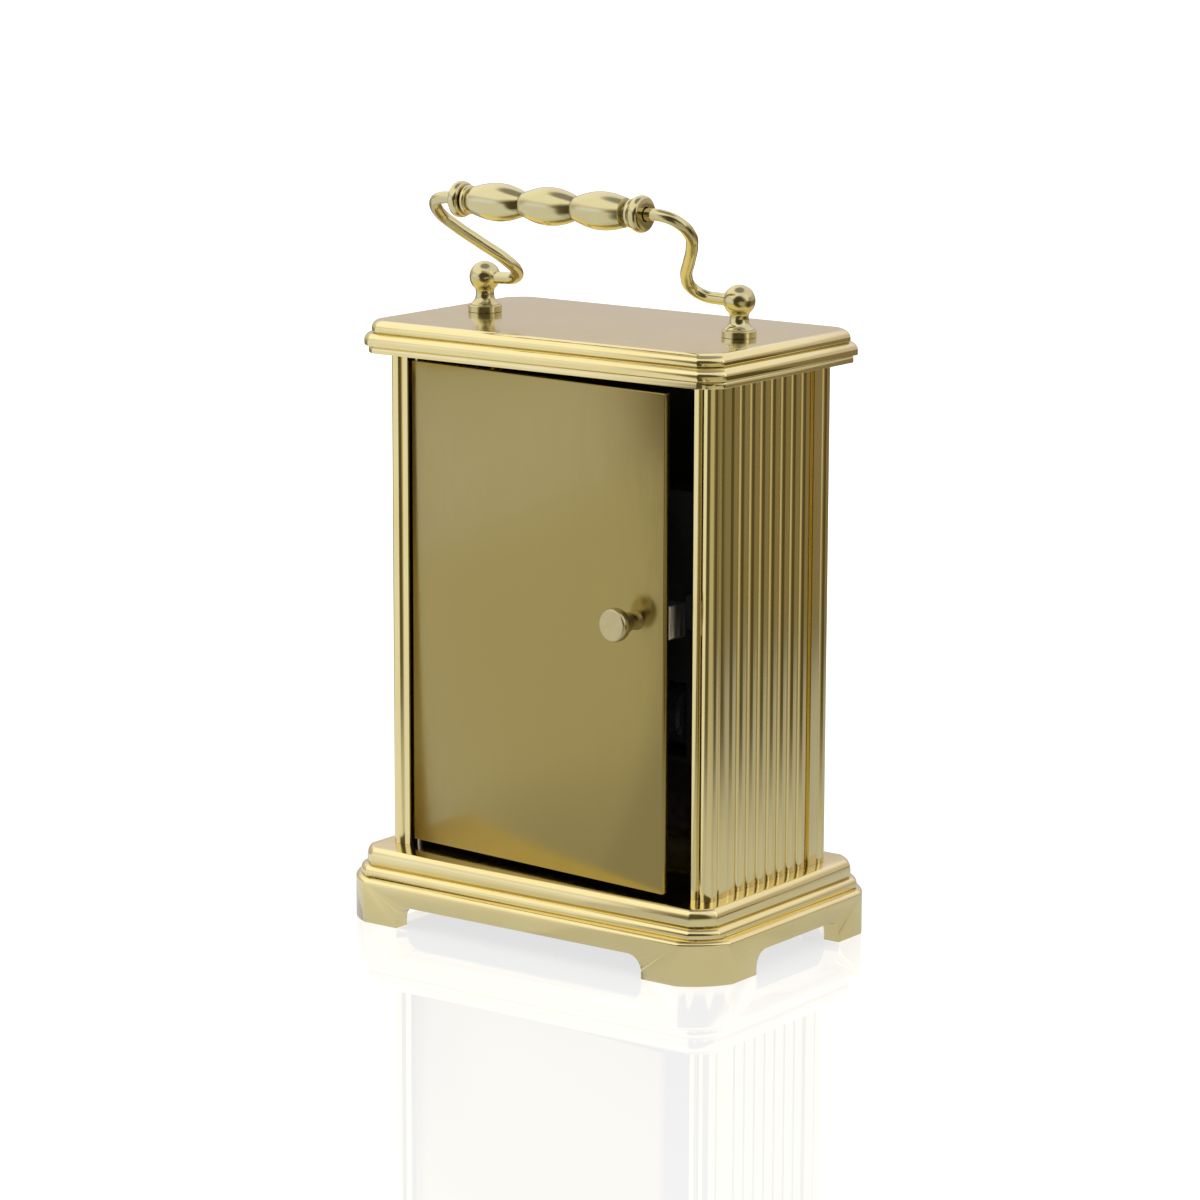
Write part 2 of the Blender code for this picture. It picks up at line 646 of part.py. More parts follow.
# ---------------------------------------------------------------------- handle
def build_handle():
    lean = Matrix.Rotation(math.radians(-HANDLE_LEAN), 4, "X")
    axis = empty("handle_axis", Matrix.Translation((0, 0, PIVOT_Z * MM)) @ lean)
    for name, side in (("handle_arm_right", 1), ("handle_arm_left", -1)):
        handle_arm(name, side, axis)
        collar = [(3.0, 1.1), (3.6, 0.75), (3.75, 0.0), (3.6, -0.75), (3.0, -1.1),
                  (1.45, -1.1), (1.45, 1.1)]
        turned(name.replace("handle_arm", "grip_collar"), collar, BRASS,
               at(side * 22.5, 0, GRIP_HEIGHT, "X"), axis, 16, True)
    turned("handle_grip", grip_profile(), BRASS, at(0, 0, GRIP_HEIGHT, "X"), axis, 16, True)
    for name, side in (("handle_post_right", 1), ("handle_post_left", -1)):
        post = turned(name, post_profile(), BRASS, at(side * PIVOT_X, 0, 0), steps=16)
        bore = cut_rod(name + "_bore", ROD_RADIUS + RUN, -5.0, 0.9, at(side * PIVOT_X, 0, PIVOT_Z, "X"), 20)
        if side < 0:
            bore.matrix_local = at(side * PIVOT_X, 0, PIVOT_Z, "X") @ Matrix.Rotation(math.pi, 4, "X")
        cut(post, bore)
        outline(name.replace("post", "nut"), [circle(3.2, 6), circle(1.75, 16)], 120.9, 122.9, STEEL,
                at(side * PIVOT_X, 0, 0))


def post_profile():
    """Ball on a waisted neck, flange and a stud that goes through the top."""
    ball = [(BALL_RADIUS * math.sin(math.radians(a)), PIVOT_Z + BALL_RADIUS * math.cos(math.radians(a)))
            for a in range(0, 141, 20)]
    neck = [(1.95, 130.2), (2.1, 129.0), (2.6, 128.2), (3.0, 127.8)]
    flange = [(3.55, 127.7), (3.55, 126.5), (1.5, 126.5)]
    return ball + neck + flange + [(1.5, 120.6), (0, 120.6)]


def grip_profile():
    """Three oval swellings with sharp waists, a neck and a bead at each end, hollow."""
    count = 22
    half = 18.6
    profile = []
    for i in range(count + 1):
        x = half - 2 * half * i / count
        if abs(x) > 13.0:
            swell = math.cos(math.pi * (abs(x) - 13.0) / 15.0)
        else:
            swell = abs(math.cos(math.pi * x / 13.0)) ** 0.9
        profile.append((2.4 + 1.5 * swell, x))
    end = [(2.2, 21.1), (2.9, 20.9), (2.9, 20.1), (2.2, 19.8), (2.1, 18.9)]
    start = [(r, -x) for r, x in end][::-1]
    return end + profile + start + [(1.45, -21.1), (1.45, 21.1)]


def handle_arm(name, side, axis):
    """Bent rod: out of the ball, up in an S and into the grip."""
    path = [(31.8, 0), (27.5, 0), (23.7, 0.8), (22.0, 3.4), (22.8, 6.9), (26.0, 11.9), (29.6, 17.5),
            (31.3, 21.6), (30.5, 25.3), (27.6, 27.25), (23.5, GRIP_HEIGHT), (17.5, GRIP_HEIGHT)]
    curve = bpy.data.curves.new(name, "CURVE")
    curve.dimensions = "3D"
    curve.bevel_depth = ROD_RADIUS * MM
    curve.bevel_resolution = 2
    curve.resolution_u = 3
    curve.use_fill_caps = True
    spline = curve.splines.new("BEZIER")
    spline.bezier_points.add(len(path) - 1)
    for point, (x, z) in zip(spline.bezier_points, path):
        point.co = (side * x * MM, 0.0, z * MM)
        point.handle_left_type = point.handle_right_type = "AUTO"
    add_object(name, curve, BRASS, None, axis)


# ------------------------------------------------------------------------ door
def build_door():
    turn = Matrix.Rotation(math.radians(-DOOR_AJAR), 4, "Z")
    axis = empty("door_axis", Matrix.Translation((HINGE_X * MM, HINGE_Y * MM, 0)) @ turn)
    width, thick, height = DOOR_SIZE
    free = HINGE_INSET - width
    knob_x = HINGE_INSET - KNOB_FROM_EDGE
    top = DOOR_BOTTOM + height
    door = box("back_door", (free, -thick / 2, DOOR_BOTTOM), (HINGE_INSET, thick / 2, top),
               DOOR_BRASS, axis)
    pins = (("door_pivot_lower", 12.9, 19.6), ("door_pivot_upper", top - 3.3, 121.6))
    tools = []
    for name, low, high in pins:
        rod(name, 0.5, low, high, STEEL, at(0, 0, 0), axis, 12)
        hole = cut_rod(name + "_hole", 0.6, low - GAP, high + GAP, at(0, 0, 0), 12)
        hole.parent = axis
        tools.append(hole)
    screw_hole = cut_rod("knob_hole", 1.3, -2.0, 2.0, at(knob_x, 0, KNOB_Z, "Y"))
    screw_hole.parent = axis
    cut(door, *tools, screw_hole)

    face = thick / 2
    knob = [(0, 7.8), (2.2, 7.75), (3.0, 7.5), (3.4, 7.0), (3.4, 6.0), (3.0, 5.3), (2.1, 3.1), (1.75, 1.6),
            (1.9, 0.6), (1.9, 0.2), (1.2, 0.2), (1.2, 5.0), (0, 5.0)]
    turned("door_knob", [(r, face + n) for r, n in knob], BRASS, at(knob_x, 0, KNOB_Z, "Y"), axis, 20)
    strike_depth = 4.9
    back = -face - GAP - strike_depth
    strike = box("catch_strike", (free, back, KNOB_Z - 3.5), (free + 11.0, -face - GAP, KNOB_Z + 3.5),
                 STEEL, axis, 0.3)
    strike_hole = cut_rod("strike_hole", 1.3, -8.0, 0.0, at(knob_x, 0, KNOB_Z, "Y"))
    strike_hole.parent = axis
    cut(strike, strike_hole)
    screw = [(0, face + 4.6), (0.95, face + 4.6), (0.95, back - GAP), (2.0, back - GAP), (2.0, back - 1.2),
             (0, back - 1.5)]
    turned("knob_screw", screw, STEEL, at(knob_x, 0, KNOB_Z, "Y"), axis, 16)


def build_catch():
    """Magnet that holds the closed door, on a small angle fixed inside the left panel."""
    angle = [(-37.9, 7.4), (-28.0, 7.4), (-28.0, 8.2), (-37.1, 8.2), (-37.1, 14.0), (-37.9, 14.0)]
    outline("catch_bracket", [angle], KNOB_Z - 5.0, KNOB_Z + 5.0, STEEL)
    box("catch_magnet", (-36.6, 8.5, KNOB_Z - 3.5), (-28.6, 12.9, KNOB_Z + 3.5), MAGNET, None, 0.3)


def build():
    build_base()
    build_cornice()
    build_posts()
    build_panels()
    build_tie_rods()
    build_front()
    build_movement_case()
    build_power()
    build_coil()
    build_time_train()
    build_motion_work()
    build_hands()
    build_handle()
    build_door()
    build_catch()


build()
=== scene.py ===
"""Looks of the brass mantel clock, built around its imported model.

Every shape below is in millimetres and becomes metres in its mesh.  The clock
stands on the ground, with its dial towards -Y and its door towards +Y.
"""
import json
import math

import bmesh
import bpy
from mathutils import Matrix, Vector


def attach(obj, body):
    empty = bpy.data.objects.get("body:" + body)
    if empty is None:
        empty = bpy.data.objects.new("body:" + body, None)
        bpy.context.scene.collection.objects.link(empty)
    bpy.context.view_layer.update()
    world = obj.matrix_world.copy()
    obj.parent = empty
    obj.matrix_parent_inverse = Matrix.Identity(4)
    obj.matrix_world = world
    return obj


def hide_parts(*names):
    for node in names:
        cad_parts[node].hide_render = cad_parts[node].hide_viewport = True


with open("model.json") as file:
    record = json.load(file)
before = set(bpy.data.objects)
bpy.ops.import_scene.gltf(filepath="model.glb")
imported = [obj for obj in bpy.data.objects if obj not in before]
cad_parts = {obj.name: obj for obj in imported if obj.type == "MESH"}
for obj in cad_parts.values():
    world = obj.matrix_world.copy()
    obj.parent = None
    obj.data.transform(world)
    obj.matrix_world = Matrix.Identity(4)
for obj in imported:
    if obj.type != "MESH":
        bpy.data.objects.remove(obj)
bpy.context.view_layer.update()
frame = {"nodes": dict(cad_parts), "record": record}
NODES = frame["nodes"]
MM = 0.001

# Case: half sizes and section sizes are (x, y)
PLINTH_HALF = (48.2, 31.5)
BASE_TOP = 15.0
CORNICE_BOTTOM = 119.5
CORNICE_TOP = 126.2
CORNICE_HALF = (42.6, 24.6)
CASE_HALF = (41.0, 21.3)
POST_SIZE = (4.8, 6.5)
COLUMN_RADIUS = 1.93
FILLET_STEP = 0.3
OPENING_HALF = CASE_HALF[0] - POST_SIZE[0]
REEDS = 8
REED_GROOVE_X = 39.65
REED_HEIGHT = 0.85
FOOT_INNER = (31.5, 15.0)
ARCH_HEIGHT = 4.8
POCKET_HALF = (44.6, 27.9)
POCKET_CANT = 9.0
MOULDING_CANT = 3.7
PLINTH_CANT = 8.2
MOULDING_SOFTNESS = 0.35
PLINTH_SOFTNESS = 0.45
FIT = 0.3
SEAT = 0.02

# Handle: radii and heights above its pivot
PIVOT_X = 32.2
PIVOT_Z = 133.5
BALL_RADIUS = 3.25
ROD_RADIUS = 1.25
GRIP_HEIGHT = 27.3
GRIP_HALF = 18.6
GRIP_RADII = (2.4, 3.9)
GRIP_WAVE = 13.0
COLLAR_X = 22.5
HANDLE_LEAN = 47.5

# Door: width, thickness, height
DOOR_SIZE = (68.5, 1.6, 101.5)
DOOR_BOTTOM = 16.3
DOOR_FACE_Y = 20.2
DOOR_AJAR = 4.7
HINGE_INSET = 0.9
HINGE_X = OPENING_HALF - 0.5 - HINGE_INSET
HINGE_Y = DOOR_FACE_Y - DOOR_SIZE[1] / 2
KNOB_FROM_EDGE = 61.3
KNOB_Z = 71.6
STRIKE_DEPTH = 5.2
STRIKE_SIZE = (11.0, 7.0)

# Dial: window and plate are half width, bottom, top
WINDOW = (30.0, 24.0, 111.0)
DIAL_PLATE = (34.0, 20.0, 115.0)
DIAL_Z = 67.5
FRONT_Y = -20.9
GLASS_Y = -19.0
SPACER_Y = -16.9
DIAL_Y = -10.2
MINUTE_ANGLE = 60.0
HOUR_ANGLE = 305.0
NUMERAL_RADIUS = 18.6
NUMERAL_HEIGHT = 5.2
TICKS = (25.25, 27.0)

# Studio, in metres
FLOOR_SIZE = (12.0, 12.0)

# Metal tones
BRASS_TONE = (0.88, 0.765, 0.39)
BRASS_WARM = (0.83, 0.695, 0.325)
TURNED_TONE = (0.68, 0.62, 0.345)
TURNED_WARM = (0.60, 0.52, 0.26)
SPUN_TONE = (0.57, 0.49, 0.27)
SPUN_WARM = (0.50, 0.42, 0.22)
DOOR_TONE = (0.385, 0.306, 0.106)
DOOR_WARM = (0.370, 0.288, 0.096)
# Dark brown for grooves and the case's inner side: tarnish, and painted shade where they lie in shade
TARNISH_AND_SHADE = (0.20, 0.150, 0.050)
# Mask value for the frame's inner side, which takes the full groove colour: painted shade
BACK_SHADE = 3.0


# ------------------------------------------------------------------- materials
class Surface:
    """A Principled material whose colour, roughness and relief come from node textures."""

    def __init__(self, name, colour, roughness, **sockets):
        self.material = bpy.data.materials.new(name)
        self.material.use_nodes = True
        self.tree = self.material.node_tree
        self.shader = self.tree.nodes["Principled BSDF"]
        self.shader.inputs["Base Color"].default_value = (*colour, 1.0)
        self.shader.inputs["Roughness"].default_value = roughness
        for socket, value in sockets.items():
            self.shader.inputs[socket.replace("_", " ")].default_value = value
        self.colour = colour
        self.coords = self.node("ShaderNodeTexCoord")
        self.last_normal = None

    def node(self, kind, **settings):
        made = self.tree.nodes.new(kind)
        for key, value in settings.items():
            setattr(made, key, value)
        return made

    def link(self, out, into):
        self.tree.links.new(out, into)

    def placed(self, stretch=(1.0, 1.0, 1.0)):
        mapping = self.node("ShaderNodeMapping")
        mapping.inputs["Scale"].default_value = stretch
        self.link(self.coords.outputs["Object"], mapping.inputs["Vector"])
        return mapping.outputs["Vector"]

    def noise(self, scale, stretch=(1.0, 1.0, 1.0), detail=3.0, rough=0.5):
        made = self.node("ShaderNodeTexNoise")
        made.inputs["Scale"].default_value = scale
        made.inputs["Detail"].default_value = detail
        made.inputs["Roughness"].default_value = rough
        self.link(self.placed(stretch), made.inputs["Vector"])
        return made.outputs["Fac"]

    def remap(self, field, low, high, start=0.35, end=0.65):
        made = self.node("ShaderNodeMapRange")
        limits = {"From Min": start, "From Max": end, "To Min": low, "To Max": high}
        for socket, value in limits.items():
            made.inputs[socket].default_value = value
        self.link(field, made.inputs["Value"])
        return made.outputs["Result"]

    def tint(self, field, other, start=0.35, end=0.65):
        """Blend from the main colour to another one where the field is high."""
        ramp = self.node("ShaderNodeValToRGB")
        ramp.color_ramp.elements[0].position = start
        ramp.color_ramp.elements[0].color = (*self.colour, 1.0)
        ramp.color_ramp.elements[1].position = end
        ramp.color_ramp.elements[1].color = (*other, 1.0)
        self.link(field, ramp.inputs["Fac"])
        self.link(ramp.outputs["Color"], self.shader.inputs["Base Color"])
        return self

    def rough(self, field, low, high, start=0.35, end=0.65):
        self.link(self.remap(field, low, high, start, end), self.shader.inputs["Roughness"])
        return self

    def tarnish_and_shade(self, colour, patches):
        """Darken what lies deep in a groove, unevenly: tarnish and painted shade in one colour."""
        # The mask darkens grooves: tarnish and painted shade
        depth = self.node("ShaderNodeAttribute", attribute_name="shade_and_tarnish_mask").outputs["Fac"]
        uneven = self.node("ShaderNodeMath", operation="MULTIPLY")
        self.link(depth, uneven.inputs[0])
        self.link(self.remap(patches, 0.75, 1.0), uneven.inputs[1])
        mix = self.node("ShaderNodeMix", data_type="RGBA")
        self.link(uneven.outputs["Value"], mix.inputs["Factor"])
        self.link(self.shader.inputs["Base Color"].links[0].from_socket, mix.inputs["A"])
        mix.inputs["B"].default_value = (*colour, 1.0)
        self.link(mix.outputs["Result"], self.shader.inputs["Base Color"])
        rougher = self.node("ShaderNodeMath", operation="MULTIPLY_ADD")
        self.link(depth, rougher.inputs[0])
        rougher.inputs[1].default_value = 0.25
        self.link(self.shader.inputs["Roughness"].links[0].from_socket, rougher.inputs[2])
        self.link(rougher.outputs["Value"], self.shader.inputs["Roughness"])
        return self

    def bump(self, field, strength, distance):
        made = self.node("ShaderNodeBump")
        made.inputs["Strength"].default_value = strength
        made.inputs["Distance"].default_value = distance
        self.link(field, made.inputs["Height"])
        if self.last_normal:
            self.link(self.last_normal, made.inputs["Normal"])
        self.last_normal = made.outputs["Normal"]
        self.link(self.last_normal, self.shader.inputs["Normal"])
        return self


def polished_brass(name, roughness, tone=BRASS_TONE, warm=BRASS_WARM, grain=(1.0, 1.0, 1.0)):
    """Lacquered brass: slow colour drift, fine hairlines, faint orange peel, and recesses darkened by
    tarnish and painted shade.
    """
    made = Surface(name, tone, roughness, Metallic=1.0, Coat_Weight=0.35, Coat_Roughness=0.06)
    made.tint(made.noise(45.0, detail=4.0), warm, 0.30, 0.75)
    made.rough(made.noise(260.0, grain, 6.0, 0.65), roughness * 0.75, roughness * 1.35)
    made.bump(made.noise(520.0, grain, 3.0), 0.05, 0.00005)
    # Grooves darken: tarnish and painted shade
    made.tarnish_and_shade(TARNISH_AND_SHADE, made.noise(900.0, grain, 4.0))
    return made.material


def door_sheet():
    made = Surface("door_sheet", DOOR_TONE, 0.17, Metallic=1.0, Coat_Weight=0.15, Coat_Roughness=0.10)
    made.tint(made.noise(22.0, (1.0, 1.0, 0.5), 3.0), DOOR_WARM, 0.25, 0.75)
    made.rough(made.noise(600.0, (1.0, 1.0, 0.2), 4.0, 0.6), 0.19, 0.25)
    made.bump(made.noise(900.0, (1.0, 1.0, 0.3), 3.0), 0.03, 0.00003)
    return made.material


def spun_brass():
    """Turning marks run in rings round the middle of the piece."""
    made = Surface("spun_brass", SPUN_TONE, 0.28, Metallic=1.0, Coat_Weight=0.2, Coat_Roughness=0.10)
    centred = made.node("ShaderNodeMapping")
    centred.inputs["Location"].default_value = (-0.5, -0.5, -0.5)
    made.link(made.coords.outputs["Generated"], centred.inputs["Vector"])
    wave = made.node("ShaderNodeTexWave", wave_type="RINGS", rings_direction="Y")
    wave.inputs["Scale"].default_value = 9.0
    wave.inputs["Distortion"].default_value = 1.2
    wave.inputs["Detail"].default_value = 3.0
    made.link(centred.outputs["Vector"], wave.inputs["Vector"])
    made.tint(made.noise(300.0), SPUN_WARM, 0.3, 0.8)
    made.rough(wave.outputs["Fac"], 0.20, 0.36, 0.2, 0.8)
    made.bump(wave.outputs["Fac"], 0.12, 0.00003)
    return made.material


def plated_steel():
    made = Surface("plated_steel", (0.52, 0.50, 0.51), 0.38, Metallic=1.0)
    made.tint(made.noise(180.0, detail=5.0), (0.42, 0.41, 0.42), 0.3, 0.75)
    made.rough(made.noise(700.0, (1.0, 1.0, 0.1), 5.0), 0.26, 0.44)
    made.bump(made.noise(900.0, (1.0, 1.0, 0.1), 4.0), 0.10, 0.00005)
    return made.material


def ferrite():
    made = Surface("ferrite", (0.030, 0.030, 0.033), 0.5, Metallic=0.2)
    made.tint(made.noise(600.0, detail=6.0, rough=0.7), (0.055, 0.055, 0.058))
    made.rough(made.noise(400.0, detail=5.0), 0.38, 0.62)
    made.bump(made.noise(1500.0, detail=4.0), 0.3, 0.00008)
    return made.material


def satin_black_paint():
    made = Surface("satin_black_paint", (0.012, 0.012, 0.012), 0.5)
    made.tint(made.noise(120.0), (0.020, 0.019, 0.018))
    made.rough(made.noise(500.0, detail=5.0), 0.42, 0.60)
    made.bump(made.noise(2200.0, detail=2.0), 0.15, 0.00005)
    return made.material


def black_plastic():
    made = Surface("black_plastic", (0.014, 0.014, 0.015), 0.45)
    made.tint(made.noise(90.0), (0.022, 0.022, 0.023))
    made.rough(made.noise(350.0, detail=4.0), 0.38, 0.55)
    made.bump(made.noise(3200.0, detail=2.0), 0.35, 0.00006)
    return made.material


def white_acetal():
    made = Surface("white_acetal", (0.72, 0.70, 0.64), 0.4, Subsurface_Weight=0.08)
    made.tint(made.noise(200.0), (0.66, 0.635, 0.57))
    made.rough(made.noise(500.0), 0.32, 0.48)
    made.bump(made.noise(1800.0), 0.12, 0.00004)
    return made.material


def dial_enamel():
    made = Surface("dial_enamel", (0.83, 0.81, 0.75), 0.22, Coat_Weight=0.4, Coat_Roughness=0.05)
    made.tint(made.noise(30.0, detail=5.0), (0.79, 0.765, 0.69), 0.3, 0.8)
    made.rough(made.noise(220.0, detail=5.0), 0.18, 0.30)
    made.bump(made.noise(400.0, detail=2.0), 0.05, 0.00005)
    return made.material


def black_lacquer():
    made = Surface("black_lacquer", (0.010, 0.010, 0.012), 0.25, Coat_Weight=0.3, Coat_Roughness=0.06)
    made.tint(made.noise(300.0), (0.018, 0.017, 0.020))
    made.rough(made.noise(900.0, detail=4.0), 0.18, 0.36)
    made.bump(made.noise(1600.0), 0.08, 0.00003)
    return made.material


def clear_glass():
    made = Surface("clear_glass", (0.97, 0.99, 0.98), 0.015, Transmission_Weight=1.0, IOR=1.5)
    made.tint(made.noise(60.0), (0.955, 0.985, 0.97), 0.3, 0.8)
    made.rough(made.noise(140.0, detail=6.0, rough=0.7), 0.005, 0.03, 0.45, 0.75)
    return made.material


def enamelled_wire():
    """Copper with one band for each turn of the winding."""
    made = Surface("enamelled_wire", (0.52, 0.17, 0.07), 0.3, Metallic=1.0, Coat_Weight=0.5)
    turns = made.node("ShaderNodeTexWave", wave_type="BANDS", bands_direction="X")
    turns.inputs["Scale"].default_value = 1500.0
    turns.inputs["Distortion"].default_value = 0.6
    made.link(made.placed(), turns.inputs["Vector"])
    made.tint(turns.outputs["Fac"], (0.30, 0.08, 0.03), 0.1, 0.9)
    made.rough(turns.outputs["Fac"], 0.25, 0.5, 0.0, 1.0)
    made.bump(turns.outputs["Fac"], 0.6, 0.0001)
    return made.material


def solder_mask():
    made = Surface("solder_mask", (0.012, 0.075, 0.020), 0.35, Coat_Weight=0.3)
    made.tint(made.noise(260.0, detail=1.0), (0.02, 0.11, 0.03), 0.45, 0.55)
    made.rough(made.noise(500.0), 0.28, 0.45)
    made.bump(made.noise(260.0, detail=1.0), 0.2, 0.00005)
    return made.material


def battery_wrap():
    made = Surface("battery_wrap", (0.020, 0.020, 0.024), 0.3, Coat_Weight=0.5, Coat_Roughness=0.06)
    made.tint(made.noise(150.0), (0.035, 0.033, 0.036))
    made.rough(made.noise(300.0, detail=5.0), 0.22, 0.38)
    made.bump(made.noise(700.0), 0.10, 0.00005)
    return made.material


def black_felt():
    made = Surface("black_felt", (0.018, 0.018, 0.018), 0.95, Sheen_Weight=0.4)
    made.tint(made.noise(2400.0, detail=8.0, rough=0.8), (0.045, 0.045, 0.045))
    made.rough(made.noise(1200.0, detail=4.0), 0.85, 1.0)
    made.bump(made.noise(2600.0, detail=8.0, rough=0.8), 0.9, 0.0003)
    return made.material


LOOK = {
    "polished_brass": polished_brass("cast_brass", 0.14),
    "drawn": polished_brass("drawn_brass", 0.13, grain=(1.0, 1.0, 0.04)),
    "turned": polished_brass("turned_brass", 0.14, TURNED_TONE, TURNED_WARM),
    "door_brass": door_sheet(),
    "spun": spun_brass(),
    "nickel_steel": plated_steel(),
    "magnet": ferrite(),
    "black_paint": satin_black_paint(),
    "black_plastic": black_plastic(),
    "white_plastic": white_acetal(),
    "dial_white": dial_enamel(),
    "hand_black": black_lacquer(),
    "glass": clear_glass(),
    "copper_wire": enamelled_wire(),
    "circuit_board": solder_mask(),
    "battery_wrap": battery_wrap(),
    "black_felt": black_felt(),
}
SLOT_OF = {part["node"]: part["material_slot"] for part in frame["record"]["subparts"]}


def dress_frame():
    """Give each carried-over node the finished material of its slot."""
    for name, node in NODES.items():
        node.data.materials.clear()
        node.data.materials.append(LOOK[SLOT_OF[name]])


# ------------------------------------------------------------- shape functions
def at(x, y, z, axis="Z", turn=0.0):
    """Place with local Z along a world axis, first turned about that local Z."""
    tilt = {
        "Z": Matrix.Identity(4),
        "X": Matrix.Rotation(math.radians(90), 4, "Y"),
        "Y": Matrix.Rotation(math.radians(-90), 4, "X"),
        "-Y": Matrix.Rotation(math.radians(90), 4, "X"),
    }[axis]
    spin = Matrix.Rotation(math.radians(turn), 4, "Z")
    return Matrix.Translation(Vector((x, y, z)) * MM) @ tilt @ spin


def new_object(name, data):
    item = bpy.data.objects.new(name, data)
    bpy.context.scene.collection.objects.link(item)
    return item


def smooth(mesh, angle=32.0):
    """Shade smooth, with edges sharper than the angle kept crisp."""
    mesh.shade_smooth()
    mesh.set_sharp_from_angle(angle=math.radians(angle))


def mesh_object(name, bm, place=None, angle=32.0):
    bmesh.ops.recalc_face_normals(bm, faces=bm.faces)
    bmesh.ops.transform(bm, matrix=place or Matrix.Identity(4), verts=bm.verts)
    mesh = bpy.data.meshes.new(name)
    bm.to_mesh(mesh)
    bm.free()
    smooth(mesh, angle)
    return new_object(name, mesh)


def evaluated_mesh(item):
    """Mesh of an object with its modifiers, or its curve settings, applied."""
    bpy.context.view_layer.update()
    return bpy.data.meshes.new_from_object(item.evaluated_get(bpy.context.evaluated_depsgraph_get()))


def settle(item):
    """Apply an object's modifiers for good."""
    mesh = evaluated_mesh(item)
    item.modifiers.clear()
    item.data = mesh
    smooth(mesh)


def bevel(item, width, segments):
    """Round all edges sharper than 34 degrees, for good."""
    edge = item.modifiers.new("edge", "BEVEL")
    edge.width = width * MM
    edge.segments = segments
    edge.limit_method = "ANGLE"
    edge.angle_limit = math.radians(34.0)
    edge.harden_normals = True
    settle(item)


def cut(item, *tools):
    """Cut tools out of an item, for good."""
    for tool in tools:
        change = item.modifiers.new("cut", "BOOLEAN")
        change.operation = "DIFFERENCE"
        change.solver = "EXACT"
        change.object = tool
    settle(item)
    for tool in tools:
        bpy.data.objects.remove(tool, do_unlink=True)


def box(name, low, high, place=None):
    bm = bmesh.new()
    bmesh.ops.create_cube(bm, size=1.0)
    for vert in bm.verts:
        for i in range(3):
            vert.co[i] = ((low[i] + high[i]) / 2 + vert.co[i] * (high[i] - low[i])) * MM
    return mesh_object(name, bm, place)


def lathe(name, profile, place, steps=64):
    """Turn (radius, height) points, from top to bottom, about local Z."""
    bm = bmesh.new()
    rings = []
    for radius, height in profile:
        if radius < 1e-6:
            rings.append([bm.verts.new((0, 0, height * MM))] * steps)
        else:
            rings.append([bm.verts.new(Vector((x, y, height)) * MM) for x, y in circle(radius, steps)])
    for upper, lower in zip(rings, rings[1:]):
        for i in range(steps):
            j = (i + 1) % steps
            corners = []
            for vert in (upper[i], upper[j], lower[j], lower[i]):
                if vert not in corners:
                    corners.append(vert)
            if len(corners) > 2:
                bm.faces.new(corners)
    return mesh_object(name, bm, place)


def curve_bmesh(name, curve, weld):
    """Faces of a curve, with points closer than the welding distance joined."""
    item = new_object(name, curve)
    mesh = evaluated_mesh(item)
    bpy.data.objects.remove(item, do_unlink=True)
    bm = bmesh.new()
    bm.from_mesh(mesh)
    bmesh.ops.remove_doubles(bm, verts=bm.verts, dist=weld)
    return bm


def outline(name, loops, low, high, place=None, angle=32.0):
    """Extrude a flat outline (first loop) with its holes (other loops) along local Z."""
    curve = bpy.data.curves.new(name, "CURVE")
    curve.dimensions = "2D"
    curve.fill_mode = "BOTH"
    curve.extrude = (high - low) / 2 * MM
    for loop in loops:
        spline = curve.splines.new("POLY")
        spline.points.add(len(loop) - 1)
        for point, (x, y) in zip(spline.points, loop):
            point.co = (x * MM, y * MM, 0.0, 1.0)
        spline.use_cyclic_u = True
    bm = curve_bmesh(name, curve, 1e-6)
    bmesh.ops.translate(bm, verts=bm.verts, vec=(0, 0, (low + high) / 2 * MM))
    return mesh_object(name, bm, place, angle)


def circle(radius, count):
    angles = [math.tau * i / count for i in range(count)]
    return [(radius * math.cos(a), radius * math.sin(a)) for a in angles]


def arc(centre, radius, start, end, count):
    angles = [math.radians(start + (end - start) * i / count) for i in range(count + 1)]
    return [(centre[0] + radius * math.cos(a), centre[1] + radius * math.sin(a)) for a in angles]


def rectangle(half_x, low, high):
    return [(-half_x, low), (half_x, low), (half_x, high), (-half_x, high)]


def mark_recesses(mesh):
    """Store how far each vertex lies in a hollow, from 0 on flats and crests to 1 in grooves, as the mask
    of tarnish and painted shade.
    """
    gain = 3.0
    bm = bmesh.new()
    bm.from_mesh(mesh)
    values = []
    for vert in bm.verts:
        slopes = [(edge.other_vert(vert).co - vert.co).normalized().dot(vert.normal)
                  for edge in vert.link_edges if edge.calc_length() > 1e-7]
        values.append(min(1.0, max(0.0, gain * sum(slopes) / max(1, len(slopes)))))
    bm.free()
    field = mesh.attributes.new("shade_and_tarnish_mask", "FLOAT", "POINT")
    field.data.foreach_set("value", values)


def add(item, body, slot, look=None, replaces=()):
    """Finish a piece: its material, the body it rides on and the nodes it stands for."""
    # Polished brass gets the mask of groove tarnish and painted shade
    if slot == "polished_brass":
        mark_recesses(item.data)
    item.data.materials.clear()
    item.data.materials.append(LOOK[look or slot])
    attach(item, body)
    if replaces:
        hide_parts(*replaces)


# -------------------------------------------------------- moulded base and top
def canted_ring(half, leg, softness, z):
    """Level rectangle with canted corners, which softness bows out towards quarter circles."""
    steps = 12
    points = []
    for corner in range(4):
        sx, sy = ((1, 1), (-1, 1), (-1, -1), (1, -1))[corner]
        side = []
        for i in range(steps + 1):
            t = i / steps
            straight = Vector((half[0] - leg * t, half[1] - leg * (1 - t)))
            a = t * math.pi / 2
            turned_in = Vector((half[0] - leg + leg * math.cos(a), half[1] - leg + leg * math.sin(a)))
            point = straight.lerp(turned_in, softness)
            side.append(Vector((sx * point.x, sy * point.y, z)) * MM)
        points += side if corner % 2 == 0 else side[::-1]
    return points


